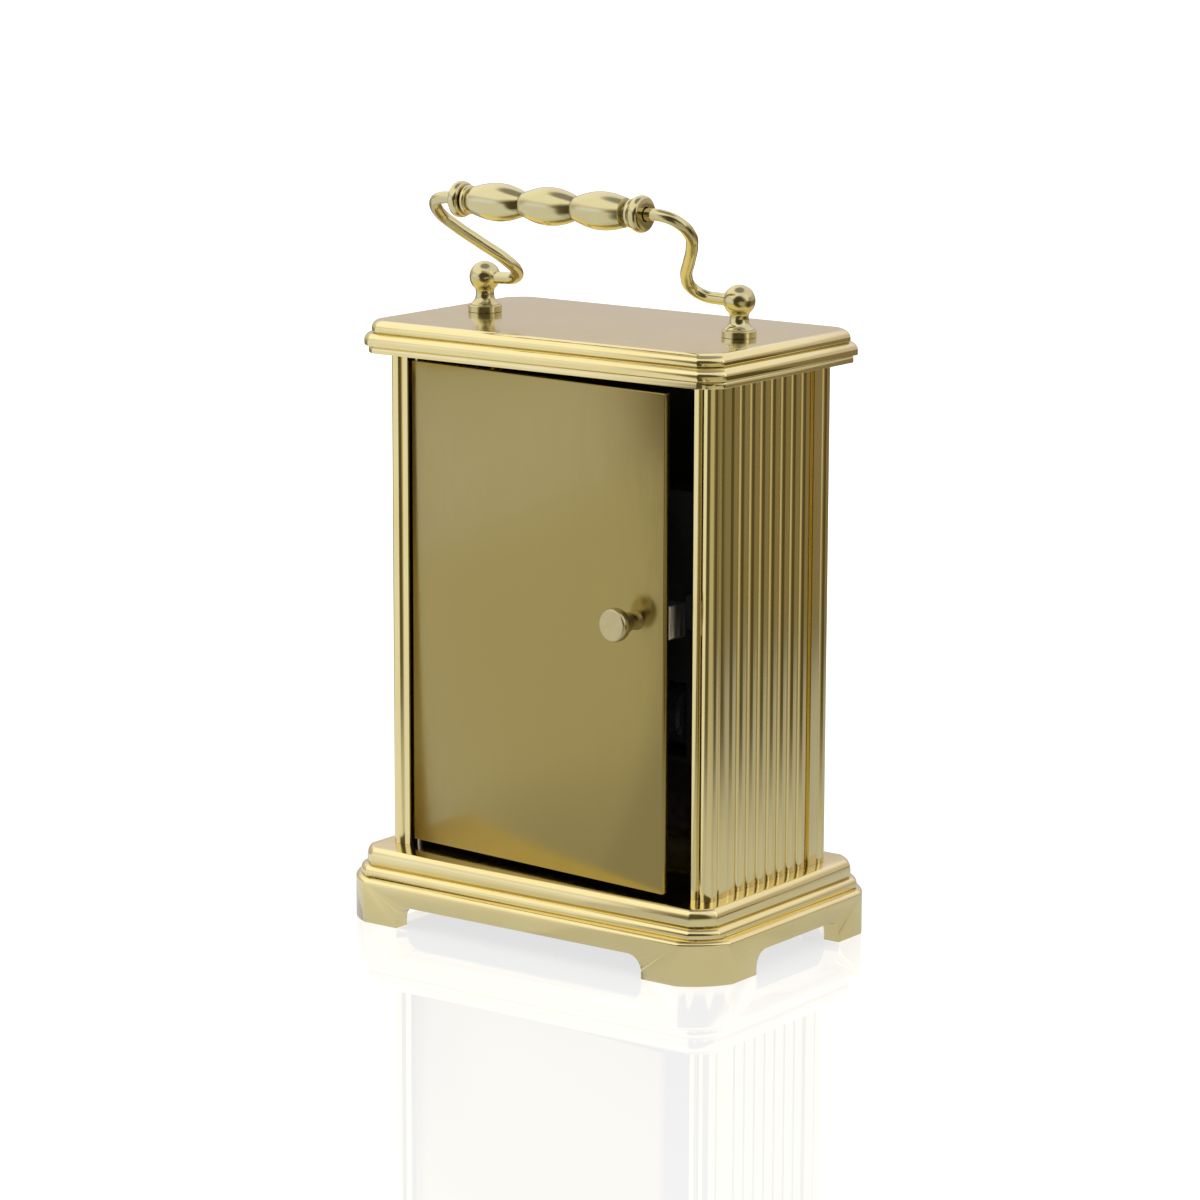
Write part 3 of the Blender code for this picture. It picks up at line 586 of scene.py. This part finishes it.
def loft(name, rings):
    """Solid through rings of points, closed by its first and last ring."""
    bm = bmesh.new()
    loops = [[bm.verts.new(point) for point in ring] for ring in rings]
    for upper, lower in zip(loops, loops[1:]):
        for i in range(len(upper)):
            j = (i + 1) % len(upper)
            bm.faces.new((upper[i], upper[j], lower[j], lower[i]))
    bm.faces.new(loops[0])
    bm.faces.new(loops[-1])
    return mesh_object(name, bm)


def round_over(start, end, count=10):
    """Quarter of an ellipse, level at its start and upright at its end, as (outward, z) points."""
    points = []
    for i in range(count + 1):
        a = math.pi / 2 * i / count
        points.append((start[0] + (end[0] - start[0]) * math.sin(a),
                       end[1] + (start[1] - end[1]) * math.cos(a)))
    return points


def base_profile():
    return (
        round_over((0.0, BASE_TOP), (1.2, 12.7))
        + [(1.2, 11.7), (0.9, 11.5)]
        + round_over((1.2, 11.3), (2.4, 10.0), 8)
        + [(2.4, 9.4), (2.2, 9.2)]
        + round_over((3.3, 9.2), (4.4, 8.3), 8)
        + [(4.4, 0.0)]
    )


def cornice_profile():
    return (
        round_over((0.0, CORNICE_TOP), (1.7, 124.5))
        + [(1.7, 123.9), (1.3, 123.7)]
        + round_over((1.5, 123.6), (2.9, 122.0))
        + [(2.9, 121.1), (2.0, 120.9), (2.2, 120.6), (2.2, CORNICE_BOTTOM)]
    )


def canted_loop(half, leg):
    """Rectangle in plan whose corners are cut off straight."""
    x, y = half
    corner = [(x, y - leg), (x - leg, y)]
    loop = []
    for sx, sy in ((1, 1), (-1, 1), (-1, -1), (1, -1)):
        points = [(sx * px, sy * py) for px, py in corner]
        loop += points if sx * sy > 0 else points[::-1]
    return loop


def arch_loop(half_gap):
    """Low opening between two feet, with rounded top corners."""
    radius = 3.4
    spring = ARCH_HEIGHT - radius
    return ([(-half_gap, -1.0), (half_gap, -1.0)]
            + arc((half_gap - radius, spring), radius, 0, 90, 14)
            + arc((-half_gap + radius, spring), radius, 90, 180, 14))


def build_base():
    profile = base_profile()
    reach = profile[-1][0]
    plinth_starts = 3.2
    rings = []
    for outward, z in profile:
        half = (PLINTH_HALF[0] - reach + outward, PLINTH_HALF[1] - reach + outward)
        if outward > plinth_starts:
            rings.append(canted_ring(half, PLINTH_CANT, PLINTH_SOFTNESS, z))
        else:
            rings.append(canted_ring(half, MOULDING_CANT + 0.5 * outward, MOULDING_SOFTNESS, z))
    base = loft("base", rings)
    along_y = at(0, 0, 0, "-Y")
    along_x = Matrix.Rotation(math.radians(90), 4, "Z") @ along_y
    deck, beyond = 3.0, 60.0
    cut(base,
        outline("pocket", [canted_loop(POCKET_HALF, POCKET_CANT)], -1.0, BASE_TOP - deck),
        outline("front_arch", [arch_loop(FOOT_INNER[0])], -beyond, beyond, along_y),
        outline("side_arch", [arch_loop(FOOT_INNER[1])], -beyond, beyond, along_x))
    bevel(base, 0.16, 2)
    add(base, "case", "polished_brass", None, ["base_plinth"])


def build_cornice():
    rings = []
    for outward, z in cornice_profile():
        half = (CORNICE_HALF[0] + outward, CORNICE_HALF[1] + outward)
        rings.append(canted_ring(half, MOULDING_CANT + 0.2 * outward, MOULDING_SOFTNESS, z))
    top = loft("top", rings)
    x, y, roof = 37.0, 14.3, CORNICE_TOP - 3.0
    cut(top, box("top_pocket", (-x, -y, CORNICE_BOTTOM - 1.5), (x, y, roof)))
    bevel(top, 0.14, 2)
    add(top, "case", "polished_brass", None, ["cornice"])


# --------------------------------------------------------------- case carcass
def post_outline():
    """Post in plan, from its outer corner inwards: a round column between two fillets."""
    width, depth = POST_SIZE
    step = FILLET_STEP
    quirk = [(3.75, step), (3.66, 0.34), (3.5, 0.6)]
    column = arc((COLUMN_RADIUS, COLUMN_RADIUS), COLUMN_RADIUS, 315, 135, 36)
    back_face = [(width, step)] + quirk
    side_face = [(v, u) for u, v in quirk[::-1]] + [(step, depth)]
    panel_slot = [(2.0, depth), (2.0, 5.1), (2.9, 5.1), (2.9, depth)]
    return back_face + column + side_face + panel_slot + [(width, depth)]


def build_posts():
    places = {"back_right": (1, 1), "back_left": (-1, 1), "front_right": (1, -1), "front_left": (-1, -1)}
    for name, (sx, sy) in places.items():
        section = [(sx * (CASE_HALF[0] - u), sy * (CASE_HALF[1] - v)) for u, v in post_outline()]
        post = outline("pillar_" + name, [section], BASE_TOP + SEAT, CORNICE_BOTTOM - SEAT, angle=24.0)
        add(post, "case", "polished_brass", "drawn", ["post_" + name])


def panel_outline(side):
    """Panel in plan: rounded reeds outside, and a tongue that enters the posts."""
    half = CASE_HALF[1] - POST_SIZE[1] - 0.2
    tongue = half + 1.3
    shoulder, inner = 38.85, 38.25
    pitch = 2 * half / REEDS
    chord = pitch - 0.36
    steps = 16
    outer = []
    for i in range(REEDS):
        middle = -half + pitch * (i + 0.5)
        for k in range(steps + 1):
            t = -math.cos(math.pi * k / steps)
            swell = math.sqrt(max(0.0, 1 - 0.985 * t * t))
            outer.append((REED_GROOVE_X + REED_HEIGHT * swell, middle + chord / 2 * t))
    inside = [(REED_GROOVE_X, half), (shoulder, half), (shoulder, tongue), (inner, tongue)]
    inside += [(x, -y) for x, y in inside[::-1]]
    return [(side * x, y) for x, y in outer + inside]


def build_panels():
    for name, side in (("right", 1), ("left", -1)):
        panel = outline("reeded_side_" + name, [panel_outline(side)],
                        BASE_TOP + SEAT, CORNICE_BOTTOM - SEAT, angle=50.0)
        add(panel, "case", "polished_brass", "drawn", ["side_panel_" + name])


# ---------------------------------------------------------------------- handle
def sweep(name, path, radius, place):
    """Round rod along a smooth path of (x, y, z) points."""
    curve = bpy.data.curves.new(name, "CURVE")
    curve.dimensions = "3D"
    curve.bevel_depth = radius * MM
    curve.bevel_resolution = 8
    curve.resolution_u = 12
    curve.use_fill_caps = True
    spline = curve.splines.new("BEZIER")
    spline.bezier_points.add(len(path) - 1)
    for point, co in zip(spline.bezier_points, path):
        point.co = Vector(co) * MM
        point.handle_left_type = point.handle_right_type = "AUTO"
    return mesh_object(name, curve_bmesh(name, curve, 1e-7), place, 60.0)


def fine(profile, count=6):
    """Catmull-Rom curve through profile points."""
    points = [profile[0]] + list(profile) + [profile[-1]]
    made = []
    for p0, p1, p2, p3 in zip(points, points[1:], points[2:], points[3:]):
        for i in range(count):
            t = i / count
            made.append(tuple(
                0.5 * (2 * b + (c - a) * t + (2 * a - 5 * b + 4 * c - d) * t * t
                       + (3 * b - a - 3 * c + d) * t ** 3)
                for a, b, c, d in zip(p0, p1, p2, p3)))
    return made + [profile[-1]]


def grip_profile():
    """Three swellings between two turned ends."""
    thin, thick = GRIP_RADII
    count = 120
    body = []
    for i in range(count + 1):
        x = GRIP_HALF - 2 * GRIP_HALF * i / count
        if abs(x) > GRIP_WAVE:
            swell = math.cos(math.pi * (abs(x) - GRIP_WAVE) / 15.0)
        else:
            swell = abs(math.cos(math.pi * x / GRIP_WAVE)) ** 0.9
        body.append((thin + (thick - thin) * swell, x))
    rim = fine([(2.6, 21.05), (2.9, 20.9), (3.0, 20.5), (2.9, 20.1), (2.5, 19.9)], 4)
    end = [(1.5, 21.1), (2.2, 21.1)] + rim + [(2.2, 19.8), (2.1, 19.4), (2.1, 18.9)]
    start = [(r, -x) for r, x in end][::-1]
    return end + body + start


def post_profile():
    """Ball on a waisted neck and a round foot, with the shank that enters the cornice."""
    ball = [(BALL_RADIUS * math.sin(math.radians(a)), PIVOT_Z + BALL_RADIUS * math.cos(math.radians(a)))
            for a in range(0, 141, 4)]
    neck = fine([(1.95, 130.6), (1.92, 129.9), (2.1, 129.0), (2.55, 128.3), (3.05, 127.85)], 5)
    foot = [(3.1, 127.7)] + fine([(3.4, 127.68), (3.55, 127.5), (3.55, 127.2)], 4)
    shank = [(3.55, 126.25), (3.4, 126.22), (1.5, 126.22), (1.5, 120.6), (0, 120.6)]
    return ball + neck + foot + shank


def arm_path(side):
    """Middle line of a bent wire arm, from its ball post to the grip."""
    path = [(31.8, 0), (27.5, 0), (23.7, 0.8), (22.0, 3.4), (22.8, 6.9), (26.0, 11.9), (29.6, 17.5),
            (31.3, 21.6), (30.5, 25.3), (27.6, 27.25), (23.5, GRIP_HEIGHT), (17.5, GRIP_HEIGHT)]
    return [(side * x, 0, z) for x, z in path]


def collar_profile():
    rim = fine([(3.35, 1.0), (3.6, 0.7), (3.75, 0.0), (3.6, -0.7), (3.35, -1.0)], 5)
    return [(1.5, 1.1), (3.0, 1.1)] + rim + [(3.0, -1.1), (1.5, -1.1)]


def build_handle():
    lean = Matrix.Rotation(math.radians(-HANDLE_LEAN), 4, "X")
    axis = Matrix.Translation((0, 0, PIVOT_Z * MM)) @ lean
    for name, side in (("right", 1), ("left", -1)):
        arm = sweep("arm_" + name, arm_path(side), ROD_RADIUS, axis)
        add(arm, "handle", "polished_brass", "turned", ["handle_arm_" + name])
        end = axis @ at(side * COLLAR_X, 0, GRIP_HEIGHT, "X")
        ring = lathe("collar_" + name, collar_profile(), end, 48)
        add(ring, "handle", "polished_brass", "turned", ["grip_collar_" + name])
        post = lathe("ball_post_" + name, post_profile(), at(side * PIVOT_X, 0, 0), 64)
        add(post, "case", "polished_brass", "turned", ["handle_post_" + name])
    grip = lathe("grip", grip_profile(), axis @ at(0, 0, GRIP_HEIGHT, "X"), 64)
    add(grip, "handle", "polished_brass", "turned", ["handle_grip"])


# ------------------------------------------------------------------------ door
def knob_profile():
    """From the face of the knob, round its rim and down its neck to the door."""
    face = [(0, 7.60), (1.0, 7.61), (2.2, 7.63)]
    rim = fine([(2.9, 7.66), (3.2, 7.54), (3.4, 7.15), (3.4, 6.6)], 4)
    neck = fine([(3.4, 6.0), (3.2, 5.5), (2.75, 4.7), (2.3, 3.7), (1.95, 2.6), (1.8, 1.6), (1.9, 0.7)], 4)
    return face + rim + neck + [(2.0, 0.4), (2.0, 0.05), (0, 0.05)]


def build_door():
    axis = (Matrix.Translation((HINGE_X * MM, HINGE_Y * MM, 0))
            @ Matrix.Rotation(math.radians(-DOOR_AJAR), 4, "Z"))
    width, thick, height = DOOR_SIZE
    free = HINGE_INSET - width
    face = thick / 2
    door = box("door", (free, -face, DOOR_BOTTOM), (HINGE_INSET, face, DOOR_BOTTOM + height), axis)
    bevel(door, 0.22, 3)
    add(door, "door", "door_brass", None, ["back_door"])

    place = axis @ at(HINGE_INSET - KNOB_FROM_EDGE, face, KNOB_Z, "Y")
    knob = lathe("knob", knob_profile(), place, 64)
    add(knob, "door", "polished_brass", "spun", ["door_knob", "knob_screw"])

    reach, half_height = STRIKE_SIZE[0], STRIKE_SIZE[1] / 2
    strike = box("strike", (free, -face - STRIKE_DEPTH, KNOB_Z - half_height),
                 (free + reach, -face - SEAT, KNOB_Z + half_height), axis)
    bevel(strike, 0.35, 3)
    add(strike, "door", "nickel_steel", None, ["catch_strike"])


# -------------------------------------------------------------- front and dial
def build_front():
    half, low, high = WINDOW
    lay = at(0, 0, 0, "-Y")
    depth = 1.6
    trim = outline("window_frame", [rectangle(OPENING_HALF - FIT, BASE_TOP + SEAT, CORNICE_BOTTOM - FIT),
                                    rectangle(half, low, high)], -FRONT_Y - depth, -FRONT_Y, lay)
    bevel(trim, 0.5, 4)
    add(trim, "case", "polished_brass", None, ["front_frame"])
    # The frame's inner side is darkened: painted shade
    painted_back_shade(trim)
    lip = 0.5
    mask = outline("dial_mask", [rectangle(*DIAL_PLATE), rectangle(half - lip, low + lip, high - lip)],
                   -DIAL_Y + FIT, -SPACER_Y, lay)
    bevel(mask, 0.4, 3)
    add(mask, "case", "polished_brass", "drawn", ["dial_spacer"])
    build_glass(half, low, high)


def painted_back_shade(item):
    """Darken the side that faces into the case with the full groove colour, and make it rougher: painted
    shade.
    """
    mesh = item.data
    back = max(vert.co.y for vert in mesh.vertices)
    depth = 0.8 * MM
    field = mesh.attributes["shade_and_tarnish_mask"].data
    for vert in mesh.vertices:
        if vert.co.y > back - depth:
            # Painted shade on the inner side
            field[vert.index].value = BACK_SHADE


def build_glass(half, low, high):
    """Pane whose edge is ground to a shallow slope all round."""
    slope, thick, lap = 4.0, 1.8, 1.5
    rings = []
    for inset, y in ((0.0, GLASS_Y + thick), (0.0, GLASS_Y + thick / 2), (slope, GLASS_Y)):
        x, bottom, top = half + lap - inset, low - lap + inset, high + lap - inset
        corners = ((x, bottom), (x, top), (-x, top), (-x, bottom))
        rings.append([Vector((corner_x, y, z)) * MM for corner_x, z in corners])
    pane = loft("window_glass", rings)
    smooth(pane.data, 3.0)
    pane.visible_shadow = False
    add(pane, "case", "glass", None, ["front_glass"])


def stroke(a, b, width):
    """Four corners of a straight stroke with level ends."""
    (ax, ay), (bx, by) = a, b
    lean = math.hypot(bx - ax, by - ay) / abs(by - ay)
    w = width * lean / 2
    return [(ax - w, ay), (ax + w, ay), (bx + w, by), (bx - w, by)]


def serif(x, y, half, up):
    """Flat wedge that ends a stroke, with its wide side at y."""
    t = 0.22 * up
    return [(x - half, y), (x + half, y), (x + half * 0.35, y + t), (x - half * 0.35, y + t)]


def numeral_strokes(text, height):
    """Strokes of a Roman numeral, centred, standing on y = 0."""
    advance = {"I": 1.45, "V": 3.3, "X": 3.3}
    thick, thin = 0.72, 0.26
    wide_serif, narrow_serif = 0.62, 0.5
    x = -sum(advance[c] for c in text) / 2
    strokes = []
    for c in text:
        left, middle, right = x + 0.45, x + advance[c] / 2, x + advance[c] - 0.45
        if c == "I":
            strokes.append(stroke((middle, 0), (middle, height), thick))
            feet = heads = [(middle, wide_serif)]
        elif c == "V":
            strokes.append(stroke((middle, 0), (left, height), thick))
            strokes.append(stroke((middle, 0), (right, height), thin))
            feet, heads = [], [(left, wide_serif), (right, narrow_serif)]
        else:
            strokes.append(stroke((right, 0), (left, height), thick))
            strokes.append(stroke((left, 0), (right, height), thin))
            feet = [(left, narrow_serif), (right, wide_serif)]
            heads = [(left, wide_serif), (right, narrow_serif)]
        strokes += [serif(px, 0, half, 1) for px, half in feet]
        strokes += [serif(px, height, half, -1) for px, half in heads]
        x += advance[c]
    return strokes


def print_solid(bm, loop, low, high):
    """Thin raised print of one flat convex shape."""
    bottom = [bm.verts.new(Vector((x, y, low)) * MM) for x, y in loop]
    top = [bm.verts.new(Vector((x, y, high)) * MM) for x, y in loop]
    bm.faces.new(bottom[::-1])
    bm.faces.new(top)
    for i in range(len(loop)):
        j = (i + 1) % len(loop)
        bm.faces.new((bottom[i], bottom[j], top[j], top[i]))


def around(loop, angle):
    """Turn a flat shape clockwise by an angle in degrees."""
    c, s = math.cos(math.radians(angle)), math.sin(math.radians(angle))
    return [(x * c + y * s, -x * s + y * c) for x, y in loop]


def ring_pieces(radius, width, count=120):
    """Short straight pieces of a printed circle."""
    inner, outer = circle(radius, count), circle(radius + width, count)
    return [[inner[i - 1], outer[i - 1], outer[i], inner[i]] for i in range(count)]


def build_dial():
    lay = at(0, 0, DIAL_Z, "-Y")
    half, bottom, top = DIAL_PLATE
    dial = outline("dial", [rectangle(half, bottom - DIAL_Z, top - DIAL_Z), circle(4.4, 48)],
                   -DIAL_Y - 0.8, -DIAL_Y, lay)
    add(dial, "case", "dial_white", None, ["dial_plate"])
    numerals = ("XII", "I", "II", "III", "IIII", "V", "VI", "VII", "VIII", "IX", "X", "XI")
    low, high = -DIAL_Y + 0.01, -DIAL_Y + 0.05
    bm = bmesh.new()
    for hour, text in enumerate(numerals):
        for shape in numeral_strokes(text, NUMERAL_HEIGHT):
            print_solid(bm, around([(x, y + NUMERAL_RADIUS) for x, y in shape], hour * 30.0), low, high)
    for minute in range(60):
        wide = 0.32 if minute % 5 == 0 else 0.13
        tick = [(-wide, TICKS[0]), (wide, TICKS[0]), (wide, TICKS[1]), (-wide, TICKS[1])]
        print_solid(bm, around(tick, minute * 6.0), low, high)
    for radius, width in ((25.15, 0.16), (27.05, 0.16), (17.6, 0.12)):
        for piece in ring_pieces(radius, width):
            print_solid(bm, piece, low, high)
    add(mesh_object("dial_print", bm, lay), "case", "hand_black")


def hand_loop(length, width, boss):
    """Leaf-shaped hand that points along +Y from its round boss."""
    stem = 0.42
    spread = math.degrees(math.asin(stem / boss))
    leaf = [(stem, length * 0.46), (width * 0.75, length * 0.55), (width, length * 0.66),
            (width * 0.72, length * 0.78), (0.30, length * 0.90)]
    right = fine([(stem, boss), (stem, length * 0.3)] + leaf, 4)
    left = [(-x, y) for x, y in right[::-1]]
    return right + [(0.0, length)] + left + arc((0, 0), boss, 90 + spread, 450 - spread, 48)[1:-1]


def build_hand(body, length, width, boss, bore, low, high, angle):
    hand = outline(body + "_pointer", [hand_loop(length, width, boss), circle(bore, 32)], low, high,
                   at(0, 0, DIAL_Z, "-Y", -angle))
    bevel(hand, 0.12, 2)
    add(hand, body, "hand_black", None, [body + "_hand"])


def build_hands():
    build_hand("hour", 16.0, 1.9, boss=3.3, bore=2.5, low=14.2, high=14.7, angle=HOUR_ANGLE)
    build_hand("minute", 23.5, 1.3, boss=2.2, bore=0.95, low=15.4, high=15.9, angle=MINUTE_ANGLE)
    dome = [(0, 17.0)] + fine([(0.5, 16.99), (1.1, 16.9), (1.45, 16.7), (1.5, 16.5)], 4)
    nut = lathe("hand_cap", dome + [(1.5, 16.2), (0, 16.2)], at(0, 0, DIAL_Z, "-Y"), 40)
    add(nut, "minute", "polished_brass", "turned", ["hand_nut"])


# ---------------------------------------------------------------------- studio
def glow(name, colour, strength):
    """Plain emission for lamps and cards."""
    material = bpy.data.materials.new(name)
    material.use_nodes = True
    tree = material.node_tree
    tree.nodes.clear()
    emit = tree.nodes.new("ShaderNodeEmission")
    emit.inputs["Color"].default_value = (*colour, 1.0)
    emit.inputs["Strength"].default_value = strength
    tree.links.new(emit.outputs[0], tree.nodes.new("ShaderNodeOutputMaterial").inputs["Surface"])
    return material


def plane(name, size, place, material):
    """Flat studio card, in metres."""
    bm = bmesh.new()
    bmesh.ops.create_grid(bm, x_segments=1, y_segments=1, size=0.5)
    bmesh.ops.scale(bm, verts=bm.verts, vec=(*size, 1.0))
    item = mesh_object(name, bm, place)
    item.data.materials.append(material)
    return item


def bearing(azimuth, elevation):
    """Direction from the clock, with azimuth 0 in front of the dial and 90 on its +X side."""
    a, e = math.radians(azimuth), math.radians(elevation)
    return Vector((math.sin(a) * math.cos(e), -math.cos(a) * math.cos(e), math.sin(e)))


def facing(azimuth, elevation, distance, height=0.07):
    """Place at a bearing and distance, in metres, looking back at the clock."""
    back = bearing(azimuth, elevation)
    turn = back.to_track_quat("Z", "Y").to_matrix().to_4x4()
    return Matrix.Translation(back * distance + Vector((0, 0, height))) @ turn


def area_light(name, place, size, power):
    light = bpy.data.lights.new(name, "AREA")
    light.shape = "RECTANGLE"
    light.size = light.size_y = size
    light.energy = power
    item = new_object(name, light)
    item.matrix_world = place
    item.visible_glossy = False


def only_reflected(item):
    """Seen in polished surfaces only, as a card or soft box outside the picture is."""
    item.visible_camera = False
    item.visible_diffuse = False
    item.visible_shadow = False
    item.visible_transmission = False


def rgba(value):
    """Colour socket value from a grey level or an RGB colour."""
    return (*value, 1.0) if isinstance(value, tuple) else (value, value, value, 1.0)


class Field:
    """Node graph for the surroundings that polished metal reflects."""

    def __init__(self, tree):
        self.tree = tree
        self.coords = tree.nodes.new("ShaderNodeTexCoord")

    def feed(self, socket, value):
        """Give a socket either another node's output or a constant."""
        if hasattr(value, "links"):
            self.tree.links.new(value, socket)
        else:
            socket.default_value = value

    def math(self, operation, a, b):
        made = self.tree.nodes.new("ShaderNodeMath")
        made.operation = operation
        self.feed(made.inputs[0], a)
        self.feed(made.inputs[1], b)
        return made.outputs["Value"]

    def vector(self, operation, a, output="Value"):
        made = self.tree.nodes.new("ShaderNodeVectorMath")
        made.operation = operation
        self.feed(made.inputs[0], a)
        return made.outputs[output]

    def towards(self, direction, azimuth):
        """How far a direction points towards an azimuth: its cosine on the level."""
        made = self.tree.nodes.new("ShaderNodeVectorMath")
        made.operation = "DOT_PRODUCT"
        self.feed(made.inputs[0], direction)
        self.feed(made.inputs[1], bearing(azimuth, 0.0))
        return made.outputs["Value"]

    def step(self, value, start, end):
        """Smooth step from 0 at start to 1 at end."""
        made = self.tree.nodes.new("ShaderNodeMapRange")
        made.interpolation_type = "SMOOTHSTEP"
        made.inputs["From Min"].default_value = start
        made.inputs["From Max"].default_value = end
        self.feed(made.inputs["Value"], value)
        return made.outputs["Result"]

    def mix(self, factor, a, b):
        made = self.tree.nodes.new("ShaderNodeMix")
        made.data_type = "RGBA"
        self.feed(made.inputs["Factor"], factor)
        self.feed(made.inputs["A"], a if hasattr(a, "links") else rgba(a))
        self.feed(made.inputs["B"], b if hasattr(b, "links") else rgba(b))
        return made.outputs["Result"]

    def ramp(self, value, stops):
        made = self.tree.nodes.new("ShaderNodeValToRGB")
        elements = made.color_ramp.elements
        while len(elements) < len(stops):
            elements.new(0.5)
        for element, (position, tone) in zip(elements, stops):
            element.position = position
            element.color = rgba(tone)
        self.feed(made.inputs["Fac"], value)
        return made.outputs["Color"]


def build_floor():
    """Pale floor with a faint mirror image of the clock."""
    floor = Surface("studio_floor", (0.17, 0.17, 0.17), 0.0, Specular_IOR_Level=0.90)
    floor.shader.inputs["Emission Color"].default_value = (1.0, 1.0, 1.0, 1.0)
    floor.shader.inputs["Emission Strength"].default_value = 0.70
    item = plane("floor", FLOOR_SIZE, Matrix.Translation((0, 0, -0.1 * MM)), floor.material)
    item.visible_glossy = False


def floor_colour(field):
    """Brightness of the floor by distance and direction from the clock, as the brass shows it."""
    place = field.coords.outputs["Object"]
    distance = field.vector("LENGTH", place)
    flat = field.vector("NORMALIZE", place, "Vector")
    near = field.ramp(distance, (
        (0.0, 0.66), (0.06, 0.62), (0.12, 0.50), (0.26, 0.42), (0.36, 0.17), (1.0, 0.21)))
    side = field.mix(field.step(distance, 0.30, 0.38), near, (0.23, 0.19, 0.12))
    rest = field.mix(field.step(distance, 0.16, 0.34), 0.60, (0.30, 0.25, 0.15))
    front = field.mix(field.step(distance, 0.04, 0.12), 0.66, 0.86)
    dark = field.mix(field.step(distance, 0.12, 0.26), 0.58, (0.09, 0.07, 0.03))
    pale = field.mix(field.step(distance, 0.12, 0.26), 0.62, (0.52, 0.48, 0.36))
    lobes = (
        (320.0, -0.1, 0.5, side),
        (132.0, 0.66, 0.80, front),
        (192.0, 0.935, 0.965, dark),
        (286.0, 0.94, 0.97, dark),
        (236.0, 0.92, 0.96, pale),
    )
    colour = rest
    for azimuth, edge, core, tone in lobes:
        colour = field.mix(field.step(field.towards(flat, azimuth), edge, core), colour, tone)
    return colour


def build_floor_glow():
    """The floor as polished metal sees it, graded so that mouldings and door keep their contrast."""
    glowing = glow("floor_glow", (1.0, 1.0, 1.0), 1.0)
    only_reflected(plane("floor_in_brass", FLOOR_SIZE, Matrix.Translation((0, 0, -0.2 * MM)), glowing))
    tree = glowing.node_tree
    tree.links.new(floor_colour(Field(tree)), tree.nodes["Emission"].inputs["Color"])


def room_colour(field):
    """Soft graded room: darker below, with a dim ceiling and a dark side behind the camera."""
    direction = field.coords.outputs["Generated"]
    split = field.tree.nodes.new("ShaderNodeSeparateXYZ")
    field.feed(split.inputs[0], direction)
    height = split.outputs["Z"]
    low = field.mix(field.step(field.towards(direction, 60.0), -0.8, 0.2),
                    (0.44, 0.38, 0.30), (0.60, 0.54, 0.50))
    high = field.mix(field.step(field.towards(direction, 130.0), -0.4, 0.5),
                     (0.95, 0.92, 0.98), (1.20, 1.17, 1.10))
    colour = field.mix(field.step(height, 0.16, 0.46), low, high)
    colour = field.mix(field.step(height, 0.84, 0.95), colour, (0.34, 0.32, 0.34))
    cool = field.step(field.towards(direction, 136.0), 0.80, 0.95)
    below = field.step(height, 0.34, 0.16)
    colour = field.mix(field.math("MULTIPLY", cool, below), colour, (0.95, 1.00, 1.25))
    behind = field.step(field.towards(direction, 212.0), 0.66, 0.84)
    under_ceiling = field.step(height, 0.96, 0.70)
    return field.mix(field.math("MULTIPLY", behind, under_ceiling), colour, (0.07, 0.06, 0.035))


def build_world():
    """White all round for the floor and matt pieces, and the room for what polished metal reflects."""
    world = bpy.data.worlds.new("studio")
    bpy.context.scene.world = world
    world.use_nodes = True
    tree = world.node_tree
    tree.nodes.clear()
    field = Field(tree)
    room = tree.nodes.new("ShaderNodeBackground")
    tree.links.new(room_colour(field), room.inputs["Color"])
    white = tree.nodes.new("ShaderNodeBackground")
    white.inputs["Color"].default_value = (1.0, 1.0, 1.0, 1.0)
    white.inputs["Strength"].default_value = 1.18
    rays = tree.nodes.new("ShaderNodeLightPath")
    blurred = field.math("SUBTRACT", rays.outputs["Is Glossy Ray"], rays.outputs["Is Singular Ray"])
    choose = tree.nodes.new("ShaderNodeMixShader")
    tree.links.new(field.math("MAXIMUM", blurred, 0.0), choose.inputs["Fac"])
    tree.links.new(white.outputs[0], choose.inputs[1])
    tree.links.new(room.outputs[0], choose.inputs[2])
    tree.links.new(choose.outputs[0], tree.nodes.new("ShaderNodeOutputWorld").inputs["Surface"])


def build_lights():
    area_light("key", facing(150.0, 55.0, 2.4), 1.6, 16.0)
    area_light("fill", facing(290.0, 50.0, 2.4), 1.6, 10.0)
    soft = glow("soft_box_glow", (1.0, 1.0, 0.98), 1.15)
    only_reflected(plane("soft_box", (1.3, 0.9), facing(138.0, 44.0, 1.3), soft))
    only_reflected(plane("side_box", (0.40, 0.9), facing(274.0, 26.0, 1.3), soft))


def build_camera():
    """Long lens, a little above the top of the case, looking at the door's free corner."""
    azimuth, elevation, roll = 216.266, 11.177, 0.196
    distance, height = 0.908864, 0.0704
    data = bpy.data.cameras.new("camera")
    data.sensor_width = 36.0
    data.lens = 131.766
    data.shift_x = -0.0070667
    data.shift_y = -0.0071167
    data.clip_start, data.clip_end = 0.01, 50.0
    camera = new_object("camera", data)
    camera.matrix_world = (facing(azimuth, elevation, distance, height)
                           @ Matrix.Rotation(math.radians(roll), 4, "Z"))
    bpy.context.scene.camera = camera


def build_studio():
    build_floor()
    build_floor_glow()
    build_world()
    build_lights()
    build_camera()
    view = bpy.context.scene.view_settings
    view.view_transform = "Standard"
    view.look = "None"
    view.exposure = 0.0


dress_frame()
build_base()
build_cornice()
build_posts()
build_panels()
build_handle()
build_door()
build_front()
build_dial()
build_hands()
build_studio()
